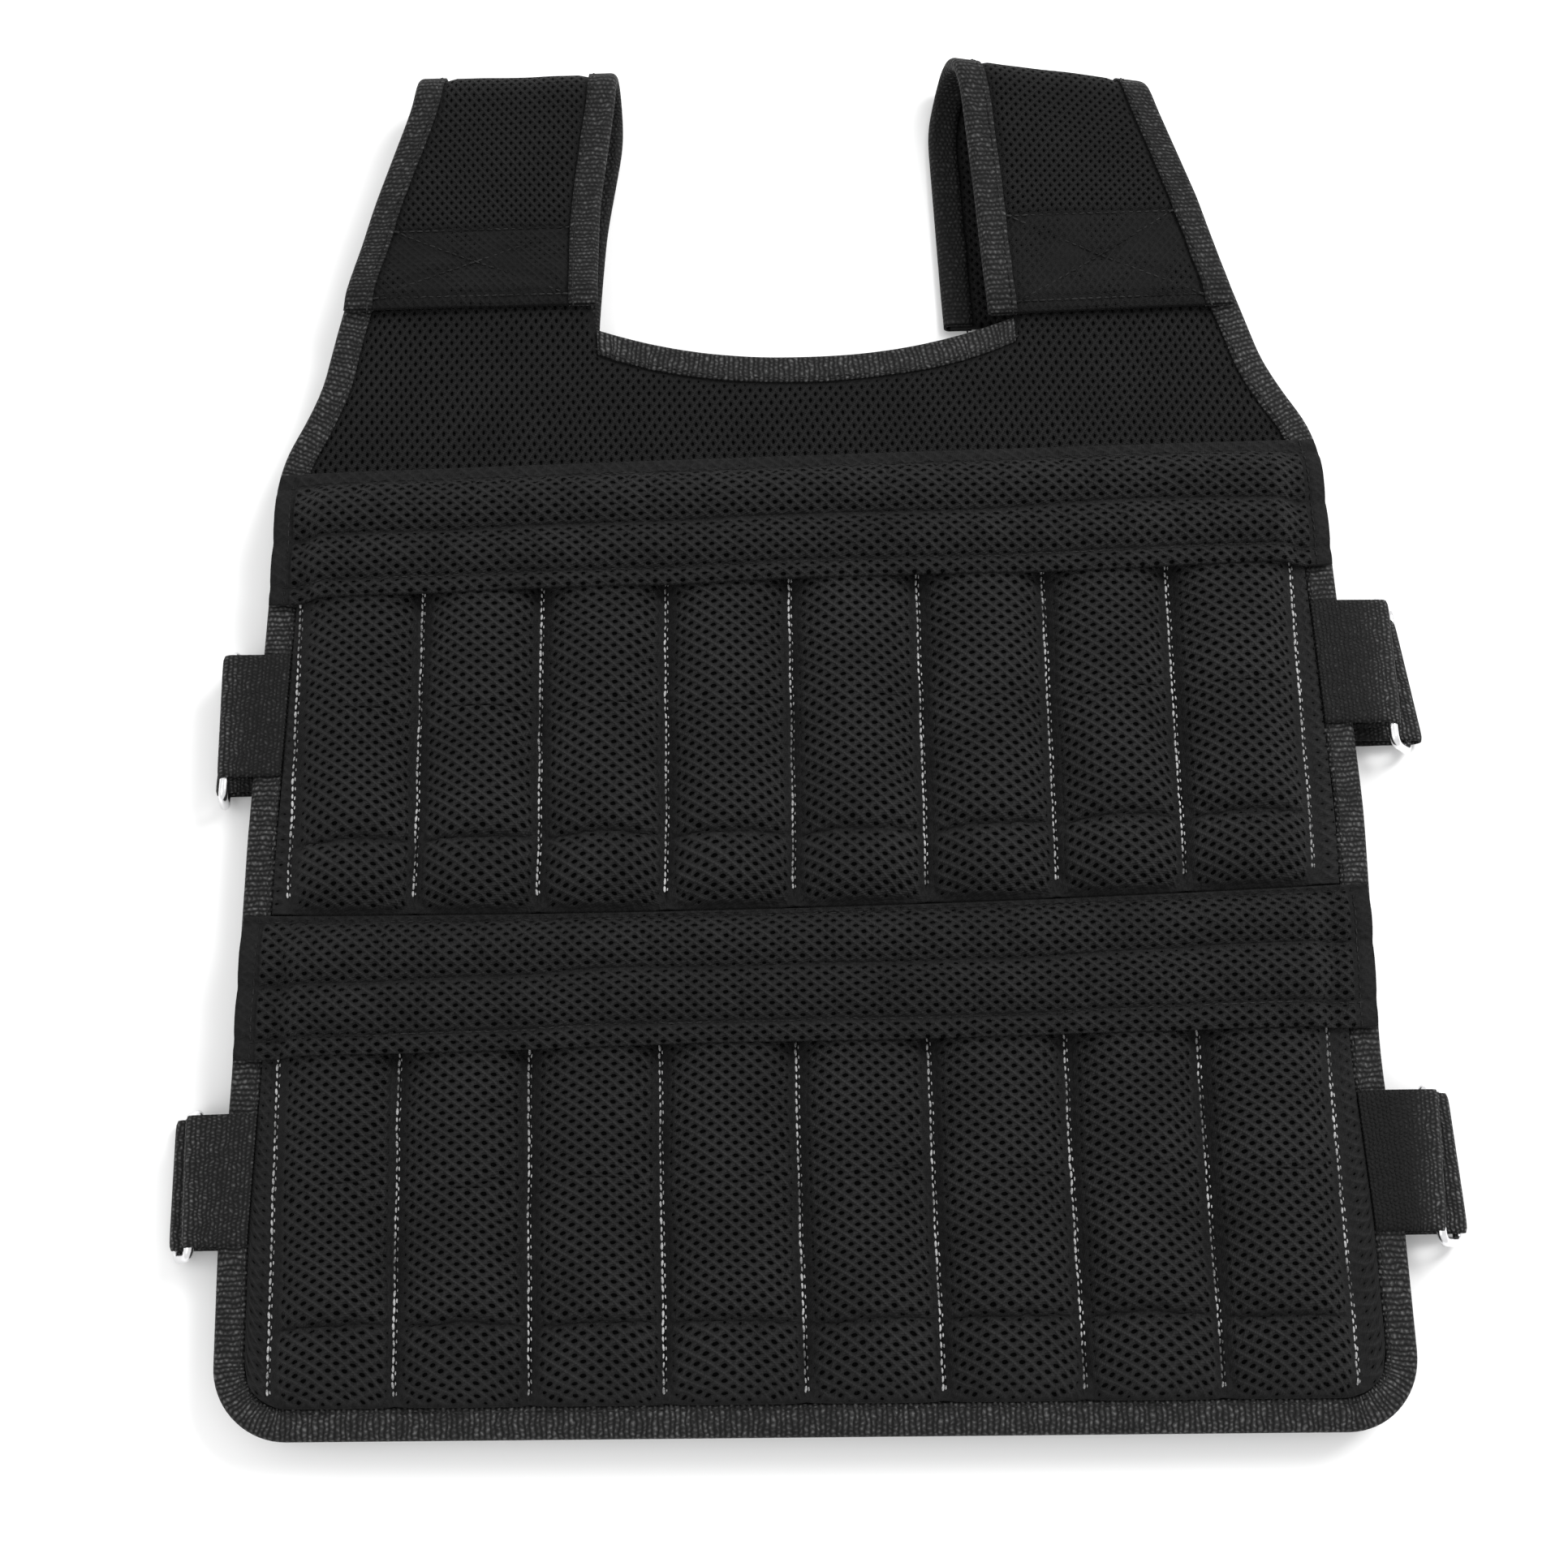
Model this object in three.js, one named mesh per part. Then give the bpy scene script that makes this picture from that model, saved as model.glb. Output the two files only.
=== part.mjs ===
// A weighted vest lying on its back: a front panel with two rows of weight pockets under flaps, a plain
// back panel, two shoulder straps folded over at the top, and four webbing and ring fastenings at the sides.
// Millimetres, +Z up, +Y from the hem to the shoulders, +X to the right as seen from above.
import * as THREE from 'three';
import { mergeVertices } from 'three/addons/utils/BufferGeometryUtils.js';

// Driving dimensions of the panels
const BODY_WIDTH = 434;
const YOKE_HEIGHT = 59;
const EAR_HEIGHT = 46;
const NECK_CENTRE = 8;
const NECK_WIDTH = 168;
const FRONT_NECK_DEPTH = 15;
const BACK_NECK_DEPTH = 27;
const CORNER_RADIUS = 26;
const PANEL_THICK = 5;
const EDGE_THICK = 3;
const TORSO_GAP = 10.5;
const FRONT_CROWN = 1.5;

// Binding tape folded over every raw edge
const TAPE_THICK = 1;
const TAPE_COVER = 10.5;

// Weight pockets and their flaps
const POCKETS = 8;
const POCKET_WIDTH = 49;
const POCKET_SHEET = 2;
const POCKET_BULGE = 8.5;
const UPPER_POCKET_LENGTH = 177.5;
const LOWER_POCKET_LENGTH = 184.9;
const ROW_SPACE = 3.5;
const MOUTH_BELOW_SEAM = 20;
const FLAP_DEPTH = 52;
const FLAP_THICK = 4.4;

// Shoulder straps
const STRAP_THICK = 5;
const STRAP_OVERLAP = 41;
const STRAP_REACH = 74;
const STRAP_LOFT = 4;

// Side fastenings: webbing, and a steel ring with two long bars
const WEBBING_WIDTH = 50;
const WEBBING_THICK = 1.8;
const WEBBING_TAIL = 34;
const WIRE_RADIUS = 1.8;
const RING_SPAN = 15;
const RING_CORNER = 3.4;
const RING_SIDE_PLAY = 2.6;
const RING_DROP = 1.1;

// Clearances: between sewn layers, and between a flap and the pockets under it
const SEWN_GAP = 0.3;
const FLAP_GAP = 0.5;
const EAR_SETBACK = 8;

// Side edge from the hem up: height as a share of EAR_TOP, reach as a share of half BODY_WIDTH
const SIDE_EDGE = [
  { up: 0.145, out: 0.998 },
  { up: 0.27, out: 0.986 },
  { up: 0.467, out: 0.986 },
  { up: 0.685, out: 0.967 },
  { up: 0.772, out: 0.963 },
  { up: 0.801, out: 0.945 },
  { up: 0.83, out: 0.908 },
  { up: 0.861, out: 0.876 },
  { up: 0.911, out: 0.848 },
  { up: 1, out: 0.795 },
];

// How the vest lies askew: height in shares of STRAP_FOLD, lean and hem slant in shares of BODY_WIDTH
const LIE = [
  { up: 0, lean: 0, slant: -0.01 },
  { up: 0.234, lean: 0, slant: 0 },
  { up: 0.405, lean: 0.007, slant: 0 },
  { up: 0.67, lean: 0.011, slant: 0.003 },
  { up: 0.81, lean: 0.005, slant: 0 },
  { up: 1, lean: 0.004, slant: 0 },
];

// A pocket from its bottom to its mouth: height as a share of its length, rise as a share of POCKET_BULGE
const POCKET_RISE = [
  { up: 0, rise: 0 },
  { up: 0.025, rise: 0.4 },
  { up: 0.075, rise: 0.82 },
  { up: 0.14, rise: 0.94 },
  { up: 0.175, rise: 0.82 },
  { up: 0.22, rise: 0.98 },
  { up: 0.48, rise: 1 },
  { up: 0.74, rise: 0.94 },
  { up: 1, rise: 0.72 },
];

// Across one pocket, from seam to seam
const POCKET_ARCH = [
  { across: 0, rise: 0 },
  { across: 0.14, rise: 0.72 },
  { across: 0.5, rise: 1 },
  { across: 0.86, rise: 0.72 },
];

// A flap from its seam down, in shares: depth of FLAP_DEPTH, and thickness of FLAP_THICK
const FLAP_QUILT = [
  { down: 0, thick: 0.45 },
  { down: 0.06, thick: 0.68 },
  { down: 0.11, thick: 0.5 },
  { down: 0.3, thick: 1 },
  { down: 0.52, thick: 0.59 },
  { down: 0.7, thick: 0.95 },
  { down: 0.87, thick: 0.5 },
  { down: 0.94, thick: 0.64 },
  { down: 1, thick: 0.41 },
];

// Strap edges along the strap, as reach from the centre line in shares of half BODY_WIDTH. The fold may
// slope down to the outer edge, by a share of STRAP_REACH.
const STRAPS = {
  left: {
    side: -1,
    foldSlope: 0,
    edges: [
      { along: 0, inner: 0.35, outer: 0.835 },
      { along: 0.2, inner: 0.345, outer: 0.785 },
      { along: 0.42, inner: 0.312, outer: 0.702 },
      { along: 0.62, inner: 0.3, outer: 0.695 },
      { along: 1, inner: 0.33, outer: 0.8 },
    ],
  },
  right: {
    side: 1,
    foldSlope: 0.16,
    edges: [
      { along: 0, inner: 0.425, outer: 0.86 },
      { along: 0.2, inner: 0.405, outer: 0.805 },
      { along: 0.42, inner: 0.37, outer: 0.725 },
      { along: 0.62, inner: 0.295, outer: 0.68 },
      { along: 1, inner: 0.305, outer: 0.78 },
    ],
  },
};

// Side fastenings: middle height as a share of the ears' top, and how far the two ring bars stand out
// from the panel's edge, in shares of RING_SPAN
const FASTENINGS = [
  { name: 'left_upper', side: -1, middle: 0.575, upperBar: 0.73, lowerBar: 0.9 },
  { name: 'left_lower', side: -1, middle: 0.197, upperBar: 0.7, lowerBar: 1.1 },
  { name: 'right_upper', side: 1, middle: 0.589, upperBar: 1.13, lowerBar: 1.67 },
  { name: 'right_lower', side: 1, middle: 0.189, upperBar: 1, lowerBar: 1.6 },
];

const material = (color, roughness, metalness = 0) =>
  new THREE.MeshStandardMaterial({ color, roughness, metalness });
const SPACER_MESH = material(0x242424, 0.85);
const TAPE = material(0x2f2f2f, 0.7);
const WEBBING = material(0x2a2a2a, 0.65);
const STEEL = material(0xc4c4c4, 0.25, 1);

// Heights above the hem, worked out from the lengths
const LOWER_POCKET_BOTTOM = TAPE_COVER + 2 * SEWN_GAP;
const LOWER_SEAM = LOWER_POCKET_BOTTOM + LOWER_POCKET_LENGTH;
const UPPER_POCKET_BOTTOM = LOWER_SEAM + ROW_SPACE;
const UPPER_SEAM = UPPER_POCKET_BOTTOM + UPPER_POCKET_LENGTH;
const NECK_TOP = UPPER_SEAM + YOKE_HEIGHT;
const EAR_TOP = NECK_TOP + EAR_HEIGHT;
const STRAP_END = EAR_TOP - STRAP_OVERLAP;
const STRAP_FOLD = EAR_TOP + STRAP_REACH;

// Levels worked out from the thicknesses
const HALF_WIDTH = BODY_WIDTH / 2;
const BINDING_HALF = EDGE_THICK / 2 + SEWN_GAP + TAPE_THICK;
const COMPRESSED = TAPE_COVER + 1.2;
const FULL_LOFT = COMPRESSED + 4;
const BACK_STRAP_LEVEL = BINDING_HALF;
const BACK_EAR_LEVEL = BACK_STRAP_LEVEL + 2 * BINDING_HALF + SEWN_GAP;
const BACK_SIDE_LEVEL = WEBBING_THICK + SEWN_GAP + BINDING_HALF;
const FRONT_LEVEL = PANEL_THICK + TORSO_GAP + PANEL_THICK / 2;
const FRONT_STRAP_LEVEL = FRONT_LEVEL + BINDING_HALF + SEWN_GAP + STRAP_THICK / 2;
const FOLD_RADIUS = (FRONT_STRAP_LEVEL + STRAP_LOFT - BACK_STRAP_LEVEL) / 2;
const WEBBING_BEND = WIRE_RADIUS + SEWN_GAP + WEBBING_THICK / 2;
const LOWER_BAR_LEVEL = WEBBING_THICK / 2 + WEBBING_BEND;
const STRAP_LEAVES_EAR = EAR_TOP + SEWN_GAP + TAPE_THICK + STRAP_THICK / 2;

const { lerp, clamp, smoothstep } = THREE.MathUtils;

// Reads one column of a table at a place between its rows
function read(table, key, at, column) {
  const next = table.findIndex((row) => row[key] >= at);
  if (next === 0) return table[0][column];
  if (next < 0) return table.at(-1)[column];
  const [a, b] = [table[next - 1], table[next]];
  return lerp(a[column], b[column], (at - a[key]) / (b[key] - a[key]));
}

// Half width of a panel at a height above the hem, with the rounded hem corner
function edgeReach(y) {
  const out = read(SIDE_EDGE, 'up', y / EAR_TOP, 'out') * HALF_WIDTH;
  if (y >= CORNER_RADIUS) return out;
  const drop = CORNER_RADIUS - y;
  return out - CORNER_RADIUS + Math.sqrt(CORNER_RADIUS ** 2 - drop ** 2);
}

// Moves a point of the square-cut vest to where it lies, a little askew
function asItLies(x, y, z) {
  const up = y / STRAP_FOLD;
  const lean = read(LIE, 'up', up, 'lean') * BODY_WIDTH;
  const slant = read(LIE, 'up', up, 'slant') * BODY_WIDTH;
  return [x + lean, y + (slant * x) / HALF_WIDTH, z];
}

// Turns a wrapped three.js geometry into one closed body with its faces pointing out
function closedOutward(geometry) {
  geometry.deleteAttribute('normal');
  geometry.deleteAttribute('uv');
  const closed = mergeVertices(geometry, 1e-4);
  const [a, b, c] = [new THREE.Vector3(), new THREE.Vector3(), new THREE.Vector3()];
  const { index } = closed;
  let volume = 0;
  for (let i = 0; i < index.count; i += 3) {
    a.fromBufferAttribute(closed.attributes.position, index.getX(i));
    b.fromBufferAttribute(closed.attributes.position, index.getX(i + 1));
    c.fromBufferAttribute(closed.attributes.position, index.getX(i + 2));
    volume += a.dot(b.cross(c));
  }
  if (volume < 0) index.array.reverse();
  closed.computeVertexNormals();
  return closed;
}

// A wall of cloth: a box of cells laid on two surfaces. place(column, row, side) gives each corner,
// where side is -1 on the lower surface and 1 on the upper one.
function clothWall(columns, rows, place) {
  const geometry = new THREE.BoxGeometry(1, 1, 1, columns, rows, 1);
  const { position } = geometry.attributes;
  for (let i = 0; i < position.count; i += 1) {
    const column = Math.round((position.getX(i) + 0.5) * columns);
    const row = Math.round((position.getY(i) + 0.5) * rows);
    const side = Math.sign(position.getZ(i));
    position.setXYZ(i, ...asItLies(...place(column, row, side)));
  }
  return closedOutward(geometry);
}

// Offsets that keep the sides of a line of points parallel to it, pointing to the right of its run
function mitres(points, closed = false) {
  const count = points.length;
  return points.map((point, i) => {
    const before = closed ? points[(i + count - 1) % count] : points[Math.max(i - 1, 0)];
    const after = closed ? points[(i + 1) % count] : points[Math.min(i + 1, count - 1)];
    const into = new THREE.Vector2().subVectors(point, before).normalize();
    const out = new THREE.Vector2().subVectors(after, point).normalize();
    if (!closed && i === 0) into.copy(out);
    if (!closed && i === count - 1) out.copy(into);
    const across = new THREE.Vector2(into.y + out.y, -into.x - out.x).normalize();
    return across.divideScalar(across.x * into.y - across.y * into.x);
  });
}

// Half section of a tape folded over an edge, from its lower hem round the edge to its upper hem:
// out is measured from the edge, up from the middle of the layers inside
const TAPE_FOLD = (() => {
  const middle = SEWN_GAP + TAPE_THICK / 2;
  const rise = EDGE_THICK / 2 + middle;
  return [
    new THREE.Vector2(-TAPE_COVER, -rise),
    new THREE.Vector2(middle, -rise),
    new THREE.Vector2(middle, rise),
    new THREE.Vector2(-TAPE_COVER, rise),
  ];
})();
const TAPE_FOLD_MITRES = mitres(TAPE_FOLD);

// A tape along an edge: place(station, out, up) puts a point of the folded tape at a station of the edge
function foldedTape(stations, place) {
  return clothWall(TAPE_FOLD.length - 1, stations - 1, (fold, station, side) => {
    const point = TAPE_FOLD[fold].clone().addScaledVector(TAPE_FOLD_MITRES[fold], (side * TAPE_THICK) / 2);
    return place(station, point.x, point.y);
  });
}

// Heights of the panel rows that all columns share, from the hem up to the foot of the yoke
const YOKE_FOOT = SIDE_EDGE[6].up * EAR_TOP;
const CORNER_STEPS = 5;
const cornerRows = Array.from(
  { length: CORNER_STEPS + 1 },
  (_, i) => CORNER_RADIUS * (1 - Math.cos((i * Math.PI) / 2 / CORNER_STEPS)),
);
const bodyRows = [...cornerRows, COMPRESSED, FULL_LOFT, ...SIDE_EDGE.map((row) => row.up * EAR_TOP)]
  .filter((y) => y <= YOKE_FOOT)
  .sort((a, b) => a - b)
  .filter((y, i, all) => i === 0 || y - all[i - 1] > 0.8);

// The yoke rows above that, each at its own share of the way to the top of its column
const YOKE_ROWS = [SIDE_EDGE[7].up, (STRAP_END - 2) / EAR_TOP].map(
  (up) => (up * EAR_TOP - YOKE_FOOT) / (EAR_TOP - FULL_LOFT - YOKE_FOOT),
);
const PANEL_ROWS = bodyRows.length + YOKE_ROWS.length + 3;

// Neckline height at a place across it, and how much longer a plumb line is there than one square to it
const NECK_ROUND = 2.2;
function neckline(x, depth) {
  const t = clamp((x - NECK_CENTRE) / (NECK_WIDTH / 2), -1, 1);
  return NECK_TOP - depth * (1 - Math.abs(t) ** NECK_ROUND);
}

function neckSteepness(x, depth) {
  const t = Math.abs(x - NECK_CENTRE) / (NECK_WIDTH / 2);
  return Math.hypot(1, (depth * NECK_ROUND * t ** (NECK_ROUND - 1)) / (NECK_WIDTH / 2));
}

// Columns of a panel: the two compressed edges, the ears, and the neckline between them
const NECK_SHARES = [-1, -0.7, -0.35, 0, 0.35, 0.7, 1];
const neckColumns = NECK_SHARES.map((share) => NECK_CENTRE + (share * NECK_WIDTH) / 2);
const earReach = [EAR_SETBACK - neckColumns[0], EAR_SETBACK + neckColumns.at(-1)];
const PANEL_COLUMNS = neckColumns.length + 10;

// Where a panel's grid corner lies in plan. The column's own top sets the heights of the yoke rows.
function panelPlan(column, row, neckDepth) {
  const fromEdge = Math.min(column, PANEL_COLUMNS - 1 - column);
  const side = column < PANEL_COLUMNS / 2 ? -1 : 1;
  const onNeck = fromEdge >= 5;
  const x = onNeck ? neckColumns[column - 5] : null;
  const top = onNeck ? neckline(x, neckDepth) : EAR_TOP;
  const steep = onNeck ? neckSteepness(x, neckDepth) : 1;
  const yokeRow = row - bodyRows.length;
  let y = top;
  if (yokeRow < 0) y = bodyRows[row];
  else if (yokeRow < YOKE_ROWS.length) y = lerp(YOKE_FOOT, top - FULL_LOFT, YOKE_ROWS[yokeRow]);
  else y = top - steep * [FULL_LOFT, COMPRESSED, 0][yokeRow - YOKE_ROWS.length];
  if (onNeck) return { x, y, top, steep };
  const edge = edgeReach(y);
  const inner = earReach[side < 0 ? 0 : 1];
  const reach = [edge, edge - COMPRESSED, edge - FULL_LOFT, (edge + inner) / 2, inner][fromEdge];
  return { x: side * reach, y, top, steep };
}

// Depth of a point inside a panel's outline
function depthInside(x, y, top, steep = 1) {
  const side = edgeReach(Math.max(y, CORNER_RADIUS)) - Math.abs(x);
  const corner = side < CORNER_RADIUS && y < CORNER_RADIUS;
  const toArc = CORNER_RADIUS - Math.hypot(CORNER_RADIUS - side, CORNER_RADIUS - y);
  return corner ? toArc : Math.min(side, y, (top - y) / steep);
}

// Thickness of a panel: pressed thin under the binding, full height further in
function panelThickness(depth) {
  const loft = (depth - COMPRESSED) / (FULL_LOFT - COMPRESSED);
  return lerp(EDGE_THICK, PANEL_THICK, clamp(loft, 0, 1));
}

// Middle height of each panel. The back one lies on the floor, but stands a little higher at its sides,
// over the webbing tails, and over the shoulder straps sewn under its ears.
function frontLevel(x) {
  return FRONT_LEVEL - FRONT_CROWN * (x / HALF_WIDTH) ** 2;
}

function backLevel(x, y, depth) {
  const loft = clamp((depth - COMPRESSED) / (FULL_LOFT - COMPRESSED), 0, 1);
  const flat = lerp(BINDING_HALF, PANEL_THICK / 2, loft);
  const edge = edgeReach(Math.max(y, CORNER_RADIUS));
  const halfway = (edge - earReach[x < 0 ? 0 : 1]) / 2;
  const byTheSide = 1 - clamp((edge - Math.abs(x) - FULL_LOFT) / (halfway - FULL_LOFT), 0, 1);
  const aboveHem = clamp(y / (2 * CORNER_RADIUS), 0, 1);
  const low = lerp(flat, BACK_SIDE_LEVEL, byTheSide * aboveHem);
  return lerp(low, BACK_EAR_LEVEL, smoothstep(y, YOKE_FOOT - 2 * FULL_LOFT, NECK_TOP - FULL_LOFT));
}

function panel(neckDepth, level) {
  return clothWall(PANEL_COLUMNS - 1, PANEL_ROWS - 1, (column, row, side) => {
    const { x, y, top, steep } = panelPlan(column, row, neckDepth);
    const depth = depthInside(x, y, top, steep);
    return [x, y, level(x, y, depth) + (side * panelThickness(depth)) / 2];
  });
}

// Binding from one ear down the side, along the hem and up to the other ear
function outerBinding(neckDepth, level) {
  const last = PANEL_COLUMNS - 1;
  const rowsUp = Array.from({ length: PANEL_ROWS }, (_, row) => row);
  const hemColumns = Array.from({ length: PANEL_COLUMNS - 6 }, (_, i) => i + 3);
  const edge = [
    ...rowsUp.toReversed().map((row) => panelPlan(0, row, neckDepth)),
    ...hemColumns.map((column) => panelPlan(column, 0, neckDepth)),
    ...rowsUp.map((row) => panelPlan(last, row, neckDepth)),
  ].map(({ x, y }) => new THREE.Vector2(x, y));
  return tapeInPlan(edge, mitres(edge), level);
}

function neckBinding(neckDepth, level) {
  const edge = neckColumns.map((x) => new THREE.Vector2(x, neckline(x, neckDepth)));
  const outward = neckColumns.map((x) => new THREE.Vector2(0, neckSteepness(x, neckDepth)));
  return tapeInPlan(edge, outward, level);
}

function tapeInPlan(edge, outward, level) {
  return foldedTape(edge.length, (station, out, up) => {
    const { x, y } = edge[station].clone().addScaledVector(outward[station], out);
    return [x, y, level(x, y, -out) + up];
  });
}

// The upper face of the front panel under a pocket sheet, which steps up a little before the panel does
function frontTop(x, y) {
  const depth = depthInside(x, y, EAR_TOP) + TAPE_THICK + 2 * SEWN_GAP;
  return frontLevel(x) + panelThickness(depth) / 2;
}

const ROWS_OF_POCKETS = {
  upper: { seam: UPPER_SEAM, bottom: UPPER_POCKET_BOTTOM, mouth: UPPER_SEAM - MOUTH_BELOW_SEAM },
  lower: { seam: LOWER_SEAM, bottom: LOWER_POCKET_BOTTOM, mouth: LOWER_SEAM - MOUTH_BELOW_SEAM },
};
const POCKETS_HALF = (POCKETS * POCKET_WIDTH) / 2;

function pocketRise({ bottom, mouth }, y) {
  return read(POCKET_RISE, 'up', (y - bottom) / (mouth - bottom), 'rise') * POCKET_BULGE;
}

// Where a pocket sheet's column starts: level, but rising along the binding in the hem's rounded corners
function sheetFoot(x, bottom) {
  const inner = CORNER_RADIUS - LOWER_POCKET_BOTTOM;
  const past = Math.abs(x) - edgeReach(CORNER_RADIUS) + CORNER_RADIUS;
  if (past <= 0) return bottom;
  return Math.max(bottom, CORNER_RADIUS - Math.sqrt(Math.max(inner ** 2 - past ** 2, 0)));
}

// Reach of the plain margin columns beyond the outermost seam, on one side
function marginReach(y) {
  const edge = edgeReach(Math.max(y, CORNER_RADIUS));
  const end = edge - TAPE_COVER - 2 * SEWN_GAP;
  const full = clamp(edge - FULL_LOFT, POCKETS_HALF + SEWN_GAP, end - 2 * SEWN_GAP);
  const pressed = clamp(edge - COMPRESSED, full + SEWN_GAP, end - SEWN_GAP);
  return [end, pressed, full];
}

function pocketSheet(row) {
  const steps = POCKET_ARCH.length;
  const columns = POCKETS * steps + 6;
  return clothWall(columns, POCKET_RISE.length - 1, (column, up, side) => {
    const level = lerp(row.bottom, row.mouth, POCKET_RISE[up].up);
    const margin = marginReach(level);
    const cell = column - margin.length;
    let x = -POCKETS_HALF;
    let arch = 0;
    if (cell < 0) x = -margin[column];
    else if (cell > POCKETS * steps) x = margin[columns - column];
    else {
      const { across, rise } = POCKET_ARCH[cell % steps];
      x += (Math.floor(cell / steps) + across) * POCKET_WIDTH;
      arch = rise;
    }
    const y = lerp(sheetFoot(x, row.bottom), row.mouth, POCKET_RISE[up].up);
    const under = frontTop(x, y) + SEWN_GAP + arch * pocketRise(row, level);
    return [x, y, under + (side > 0 ? POCKET_SHEET : 0)];
  });
}

// A flap hangs from its seam over the mouths of the pockets and rests on their crests. Its columns
// stand at these shares of the pockets' half width, and past them it comes down to the panel's edge.
const FLAP_CRESTS = [0, 0.3, 0.62, 0.975];
function flap(row) {
  const half = FLAP_CRESTS.length + 1;
  return clothWall(2 * half, FLAP_QUILT.length - 1, (column, down, side) => {
    const { down: share, thick } = FLAP_QUILT[down];
    const y = row.seam - share * FLAP_DEPTH;
    const step = Math.abs(column - half);
    const ends = [POCKETS_HALF, edgeReach(y) - SEWN_GAP];
    const reach = [...FLAP_CRESTS.map((crest) => crest * POCKETS_HALF), ...ends][step];
    const x = Math.sign(column - half) * reach;
    const onCrest = step < FLAP_CRESTS.length ? 1 : 0;
    const sheetTop = PANEL_THICK / 2 + SEWN_GAP + POCKET_SHEET + FLAP_GAP;
    const overPockets = sheetTop + onCrest * pocketRise(row, Math.min(y, row.mouth));
    const sewnDown = BINDING_HALF + SEWN_GAP;
    const past = clamp((row.seam - y) / (MOUTH_BELOW_SEAM - 5), 0, 1);
    const under = frontLevel(x) + lerp(sewnDown, overPockets, past);
    return [x, y, under + (side > 0 ? thick * FLAP_THICK : 0)];
  });
}

// Middle line of a shoulder strap in side view, from its front end over the fold to its back end
const FOLD_CENTRE = new THREE.Vector2(
  STRAP_FOLD - FOLD_RADIUS - STRAP_THICK / 2,
  BACK_STRAP_LEVEL + FOLD_RADIUS,
);
const FOLD_STEPS = 8;
const STRAP_LINE = [
  new THREE.Vector2(STRAP_END, FRONT_STRAP_LEVEL),
  new THREE.Vector2(STRAP_LEAVES_EAR, FRONT_STRAP_LEVEL),
  new THREE.Vector2(lerp(STRAP_LEAVES_EAR, FOLD_CENTRE.x, 0.5), FRONT_STRAP_LEVEL + STRAP_LOFT * 0.6),
  ...Array.from({ length: FOLD_STEPS + 1 }, (_, i) => {
    const turn = (i * Math.PI) / FOLD_STEPS;
    return new THREE.Vector2(Math.sin(turn), Math.cos(turn)).multiplyScalar(FOLD_RADIUS).add(FOLD_CENTRE);
  }),
  new THREE.Vector2(lerp(STRAP_LEAVES_EAR, FOLD_CENTRE.x, 0.5), BACK_STRAP_LEVEL),
  new THREE.Vector2(STRAP_LEAVES_EAR, BACK_STRAP_LEVEL),
  new THREE.Vector2(STRAP_END, BACK_STRAP_LEVEL),
];
const STRAP_LINE_MITRES = mitres(STRAP_LINE).map((mitre) => mitre.negate());
const strapAlong = STRAP_LINE.reduce(
  (lengths, point, i) => [...lengths, i ? lengths[i - 1] + point.distanceTo(STRAP_LINE[i - 1]) : 0],
  [],
);

// A point of a strap: out from the centre line, and up from its middle surface
function strapPoint(strap, station, reach, up) {
  const line = STRAP_LINE[station].clone().addScaledVector(STRAP_LINE_MITRES[station], up);
  const along = strapAlong[station] / strapAlong.at(-1);
  const inner = read(strap.edges, 'along', along, 'inner') * HALF_WIDTH;
  const outer = read(strap.edges, 'along', along, 'outer') * HALF_WIDTH;
  const share = (reach - inner) / (outer - inner);
  const climb = clamp((line.x - STRAP_LEAVES_EAR) / (STRAP_FOLD - STRAP_LEAVES_EAR), 0, 1);
  return [strap.side * reach, line.x - strap.foldSlope * STRAP_REACH * share * climb, line.y];
}

function strapEdges(strap, station) {
  const along = strapAlong[station] / strapAlong.at(-1);
  return ['inner', 'outer'].map((edge) => read(strap.edges, 'along', along, edge) * HALF_WIDTH);
}

function shoulderStrap(strap) {
  return clothWall(5, STRAP_LINE.length - 1, (column, station, side) => {
    const [inner, outer] = strapEdges(strap, station);
    const reach = [
      inner, inner + COMPRESSED, inner + FULL_LOFT, outer - FULL_LOFT, outer - COMPRESSED, outer,
    ][column];
    const thick = column > 1 && column < 4 ? STRAP_THICK : EDGE_THICK;
    return strapPoint(strap, station, reach, (side * thick) / 2);
  });
}

function strapBinding(strap, edge) {
  const outward = edge === 'inner' ? -1 : 1;
  return foldedTape(STRAP_LINE.length, (station, out, up) => {
    const at = strapEdges(strap, station)[edge === 'inner' ? 0 : 1];
    return strapPoint(strap, station, at + outward * out, up);
  });
}

// Webbing seen along the bars: out is measured from the panel's edge, the heights from the floor
function webbing(line, fastening) {
  const offsets = mitres(line);
  return clothWall(line.length - 1, 1, (station, end, side) => {
    const point = line[station].clone().addScaledVector(offsets[station], (side * WEBBING_THICK) / 2);
    const y = fastening.middle * EAR_TOP + (end - 0.5) * WEBBING_WIDTH;
    return [fastening.side * (edgeReach(y) + point.x), y, point.y];
  });
}

// Half a turn of webbing round a bar, from the top of the bar outward and under it
function turnRound(bar) {
  const steps = 5;
  return Array.from({ length: steps + 1 }, (_, i) => {
    const turn = (i * Math.PI) / steps;
    return new THREE.Vector2(Math.sin(turn), Math.cos(turn)).multiplyScalar(WEBBING_BEND).add(bar);
  });
}

function bars({ upperBar, lowerBar }) {
  const height = Math.sqrt(1 - (lowerBar - upperBar) ** 2);
  const lower = new THREE.Vector2(lowerBar * RING_SPAN, LOWER_BAR_LEVEL);
  return { lower, upper: new THREE.Vector2(upperBar * RING_SPAN, LOWER_BAR_LEVEL + height * RING_SPAN) };
}

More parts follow.
